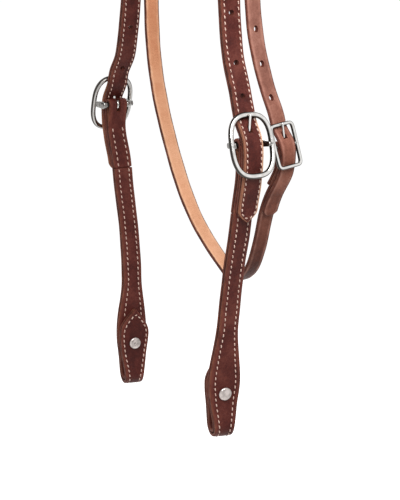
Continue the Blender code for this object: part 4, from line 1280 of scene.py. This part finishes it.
def build_throat(rail, buckle, looks):
    """The throatlatch's single strap, with its holes."""
    past = billet_levels(buckle, LEATHER / 2)
    tail = past[-1][1]
    outer = tail - LEATHER - LAYER_GAP
    route = bar_fold(buckle, outer - LEATHER - LAYER_GAP, outer, THROAT_FOLD_BACK)
    around = [(route[-1][0], outer), (THROAT_TAIL + LAYER_GAP, outer),
              (THROAT_TAIL + THROAT_SETTLE, 0.0),
              (rail.length + past[0][0] - THROAT_STRAIGHT, 0.0)]
    around += [(rail.length + s, n) for s, n in past + [(THROAT_TAIL, tail)]]
    points, wides = rail.place(route + eased(around)[1:])
    total = run_lengths(points)[-1]

    def width_at(_, run):
        share = min((total - run) / THROAT_TIP, 1.0)
        return THROAT_WIDTH * (THROAT_TIP_SHARE + (1 - THROAT_TIP_SHARE) * share)

    cutters = [tongue_slit(buckle, looks["raw"]), fold_slot(buckle, looks["raw"])]
    for k in range(1, THROAT_HOLES + 1):
        point, _, wide, out = rail.at(-THROAT_TONGUE_HOLE - k * THROAT_HOLE_STEP)
        cutters.append(round_cutter(point, out, wide, THROAT_HOLE_R, LEATHER / 2 + CUT_OVER,
                                    looks["raw"], HOLE_STRETCH, HOLE_TAPER))
    layer = Layer("throat_strap_leather", points, wides, width_at, sewn=UNSEWN)
    layer.add("headpiece", looks["throat"], cutters, "red_leather")
    drop(cutters)


def build_browband(crown_x, looks):
    """The browband's outer layer with a loop at each end, its lining and their sewing."""
    out_x = crown_x + PAIR_HALF + BROW_ROOM + LEATHER / 2
    loop = 2 * (PAIR_HALF + BROW_ROOM + LEATHER / 2)
    height = PAIR_HALF - BROW_DROP
    near = [(out_x, y, height) for y in (BROW_LOOP_CENTRE_BACK, 0.0, -STRAP_WIDTH / 2)]
    near += [(out_x * across, -BROW_REACH * reach, height) for across, reach in BROW_FRONT_SHARES]
    knots = near + [(-x, y, z) for x, y, z in reversed(near[:-1])]
    rail = Rail(smooth_points(knots, (0, -1, 0), (0, 1, 0)), knots[0], (0, 0, -1))
    total = rail.length
    back = LEATHER + LAYER_GAP
    crown_front = BROW_LOOP_CENTRE_BACK + STRAP_WIDTH / 2 + BROW_ROOM
    near_end = eased([(BROW_TAB, -back), (BROW_CLOSED, -back), (crown_front, -loop), (0.0, -loop)])
    near_end += arc(0.0, -loop / 2, loop / 2, -90, -270)[1:-1]
    far_end = [(total - s, n) for s, n in reversed(near_end)]
    routes = {"outer": near_end + eased([(0.0, 0.0), (total, 0.0)]) + far_end,
              "lining": eased([(BROW_TAB + LAYER_GAP, -back), (total - BROW_TAB - LAYER_GAP, -back)])}
    layers = []
    for kind, grain in (("outer", "grain_out"), ("lining", "lining_in")):
        layer = Layer(f"browband_{kind}_leather", *rail.place(routes[kind]), lambda _, run: STRAP_WIDTH)
        layers.append(layer)
        layer.add("browband", looks[grain])
    outer, lining = layers
    sewn = run_lengths(rail.place(near_end)[0])[-1] + BROW_CLOSED
    tab = BROW_TAB - BROW_CLOSED
    rows = []
    for layer, face, start, end in ((outer, 1, sewn, outer.total - sewn), (outer, 1, SEWN_FROM, tab),
                                    (outer, 1, outer.total - tab, outer.total - SEWN_FROM),
                                    (lining, -1, SEWN_FROM, lining.total - SEWN_FROM)):
        rows += contour(layer, face, start, end, STITCH_INSET)
    add_stitches("browband_stitches", "browband", rows, looks)


def make_looks():
    """Every material of the headstall."""
    dark = Face((0.044, 0.0078, 0.0060), (0.077, 0.0154, 0.0115), (0.130, 0.035, 0.025), 0.46, False)
    flesh = Face((0.120, 0.040, 0.024), (0.200, 0.072, 0.040), (0.300, 0.120, 0.070), 0.78, True)
    edge = Face((0.058, 0.014, 0.010), (0.132, 0.037, 0.023), (0.225, 0.076, 0.045), 0.58, False)
    red = Face((0.165, 0.063, 0.045), (0.238, 0.098, 0.071), (0.335, 0.158, 0.119), 0.50, False)
    tan = Face((0.64, 0.290, 0.152), (0.83, 0.433, 0.256), (0.90, 0.540, 0.345), 0.80, True)
    red_edge = Face((0.060, 0.017, 0.011), (0.110, 0.032, 0.021), (0.220, 0.078, 0.048), 0.58, False)
    return {
        "grain_out": leather_material("chestnut_grain", dark, flesh, edge),
        "grain_in": leather_material("chestnut_lining", flesh, dark, edge),
        "lining_in": leather_material("crown_lining_leather", flesh, dark, edge),
        # The throat's shades by height are painted light: painted shade low on the grain, a paler painted
        # sheen at its top, and painted shade on the top of the tan side
        "throat": leather_material("throat_leather", red, tan, red_edge,
                                   ((0.28, 0.14, 0.11), (1.0, 0.84, 0.74), (0.79, 0.64, 0.56))),
        "raw": raw_material("cut_leather", (0.060, 0.013, 0.009), (0.17, 0.045, 0.028)),
        "thread": thread_material("waxed_thread", (0.34, 0.18, 0.13), (0.57, 0.36, 0.29),
                                  (0.76, 0.57, 0.48)),
        # The third colour of a metal is a painted dark reflection on the wire's flanks and painted shade on
        # its backs
        "nickel": metal_material("polished_nickel", (0.68, 0.66, 0.63), (0.88, 0.87, 0.85),
                                 (0.045, 0.040, 0.035), 0.07, 0.18),
        "cap": metal_material("screw_nickel", (0.30, 0.265, 0.25), (0.56, 0.50, 0.475),
                              (0.10, 0.09, 0.08), 0.22, 0.38),
    }


def build_headstall():
    """Every piece of the headstall."""
    looks = make_looks()
    sides = []
    for prefix, side in (("near", 1), ("far", -1)):
        rail = side_rail(side)
        buckle = Buckle(prefix, rail, CHEEK_BUCKLE)
        sides.append((prefix, rail, buckle))
        build_cheek(prefix, rail, buckle, looks)
        build_metal(buckle, looks["nickel"], prefix + "_tongue")
    build_crown(sides, looks)
    rail = throat_rail()
    buckle = Buckle("throat", rail, THROAT_BUCKLE)
    build_throat(rail, buckle, looks)
    build_metal(buckle, looks["nickel"], "throat_tongue")
    build_browband(CROWN_SHARES[4][0] * BAR_HALF_WIDTH, looks)


def add_lamp(name, place, size, power):
    """A soft lamp that shines at the middle of the headstall."""
    light = bpy.data.lights.new(name, "AREA")
    light.shape = "RECTANGLE"
    light.size, light.size_y = size
    light.energy = power
    lamp = add_object(name, light)
    lamp.location = place
    lamp.rotation_euler = (Vector(LOOK_AT) - Vector(place)).to_track_quat("-Z", "Y").to_euler()


def seen_directly(g):
    """One for rays from the camera, a mirror or glass, which all see the same white background."""
    paths = g.add("LightPath").outputs
    camera, glossy, through = [Value(g, paths[name]) for name in
                               ("Is Camera Ray", "Is Glossy Ray", "Is Transmission Ray")]
    return g.maths("MAXIMUM", g.maths("MAXIMUM", camera, glossy), through)


def build_studio():
    """A pale floor, soft lamps and the camera."""
    scene = bpy.context.scene
    scene.world = bpy.data.worlds.new("studio")
    g = Graph(scene.world, "OutputWorld")
    soft = g.value("Background", Color=WHITE, Strength=WORLD_LIGHT)
    plain = g.value("Background", Color=WHITE)
    g.finish(g.value("MixShader", i0=seen_directly(g), i1=soft, i2=plain))

    floor_mesh = bpy.data.meshes.new("floor")
    reach = FLOOR_REACH
    floor_mesh.from_pydata([(-reach, -reach, FLOOR_Z), (reach, -reach, FLOOR_Z), (reach, reach, FLOOR_Z),
                            (-reach, reach, FLOOR_Z)], [], [(0, 1, 2, 3)])
    g = Graph(bpy.data.materials.new("pale_floor"))
    shade = g.ramp(g.noise(g.solid(), 6.0), (0.3, 0.7), ((0.78, 0.78, 0.78), (0.84, 0.84, 0.84)))
    surface = g.value("BsdfDiffuse", Color=shade)
    glow = g.value("Emission", Color=WHITE, Strength=seen_directly(g) * FLOOR_GLOW)
    floor_mesh.materials.append(g.finish(g.value("AddShader", i0=surface, i1=glow)))
    add_object("floor", floor_mesh)

    for lamp in LAMPS:
        add_lamp(*lamp)

    camera = bpy.data.cameras.new("camera")
    camera.sensor_fit = "VERTICAL"
    camera.sensor_height = SENSOR
    camera.lens = LENS
    eye = add_object("camera", camera)
    turn, rise = CAMERA_TURN, CAMERA_RISE
    away = Vector((math.cos(turn) * math.cos(rise), -math.sin(turn) * math.cos(rise), math.sin(rise)))
    eye.location = Vector(LOOK_AT) + CAMERA_AWAY * away
    eye.rotation_euler = (-away).to_track_quat("-Z", "Y").to_euler()
    scene.camera = eye
    scene.view_settings.view_transform = "Standard"


build_headstall()
build_studio()
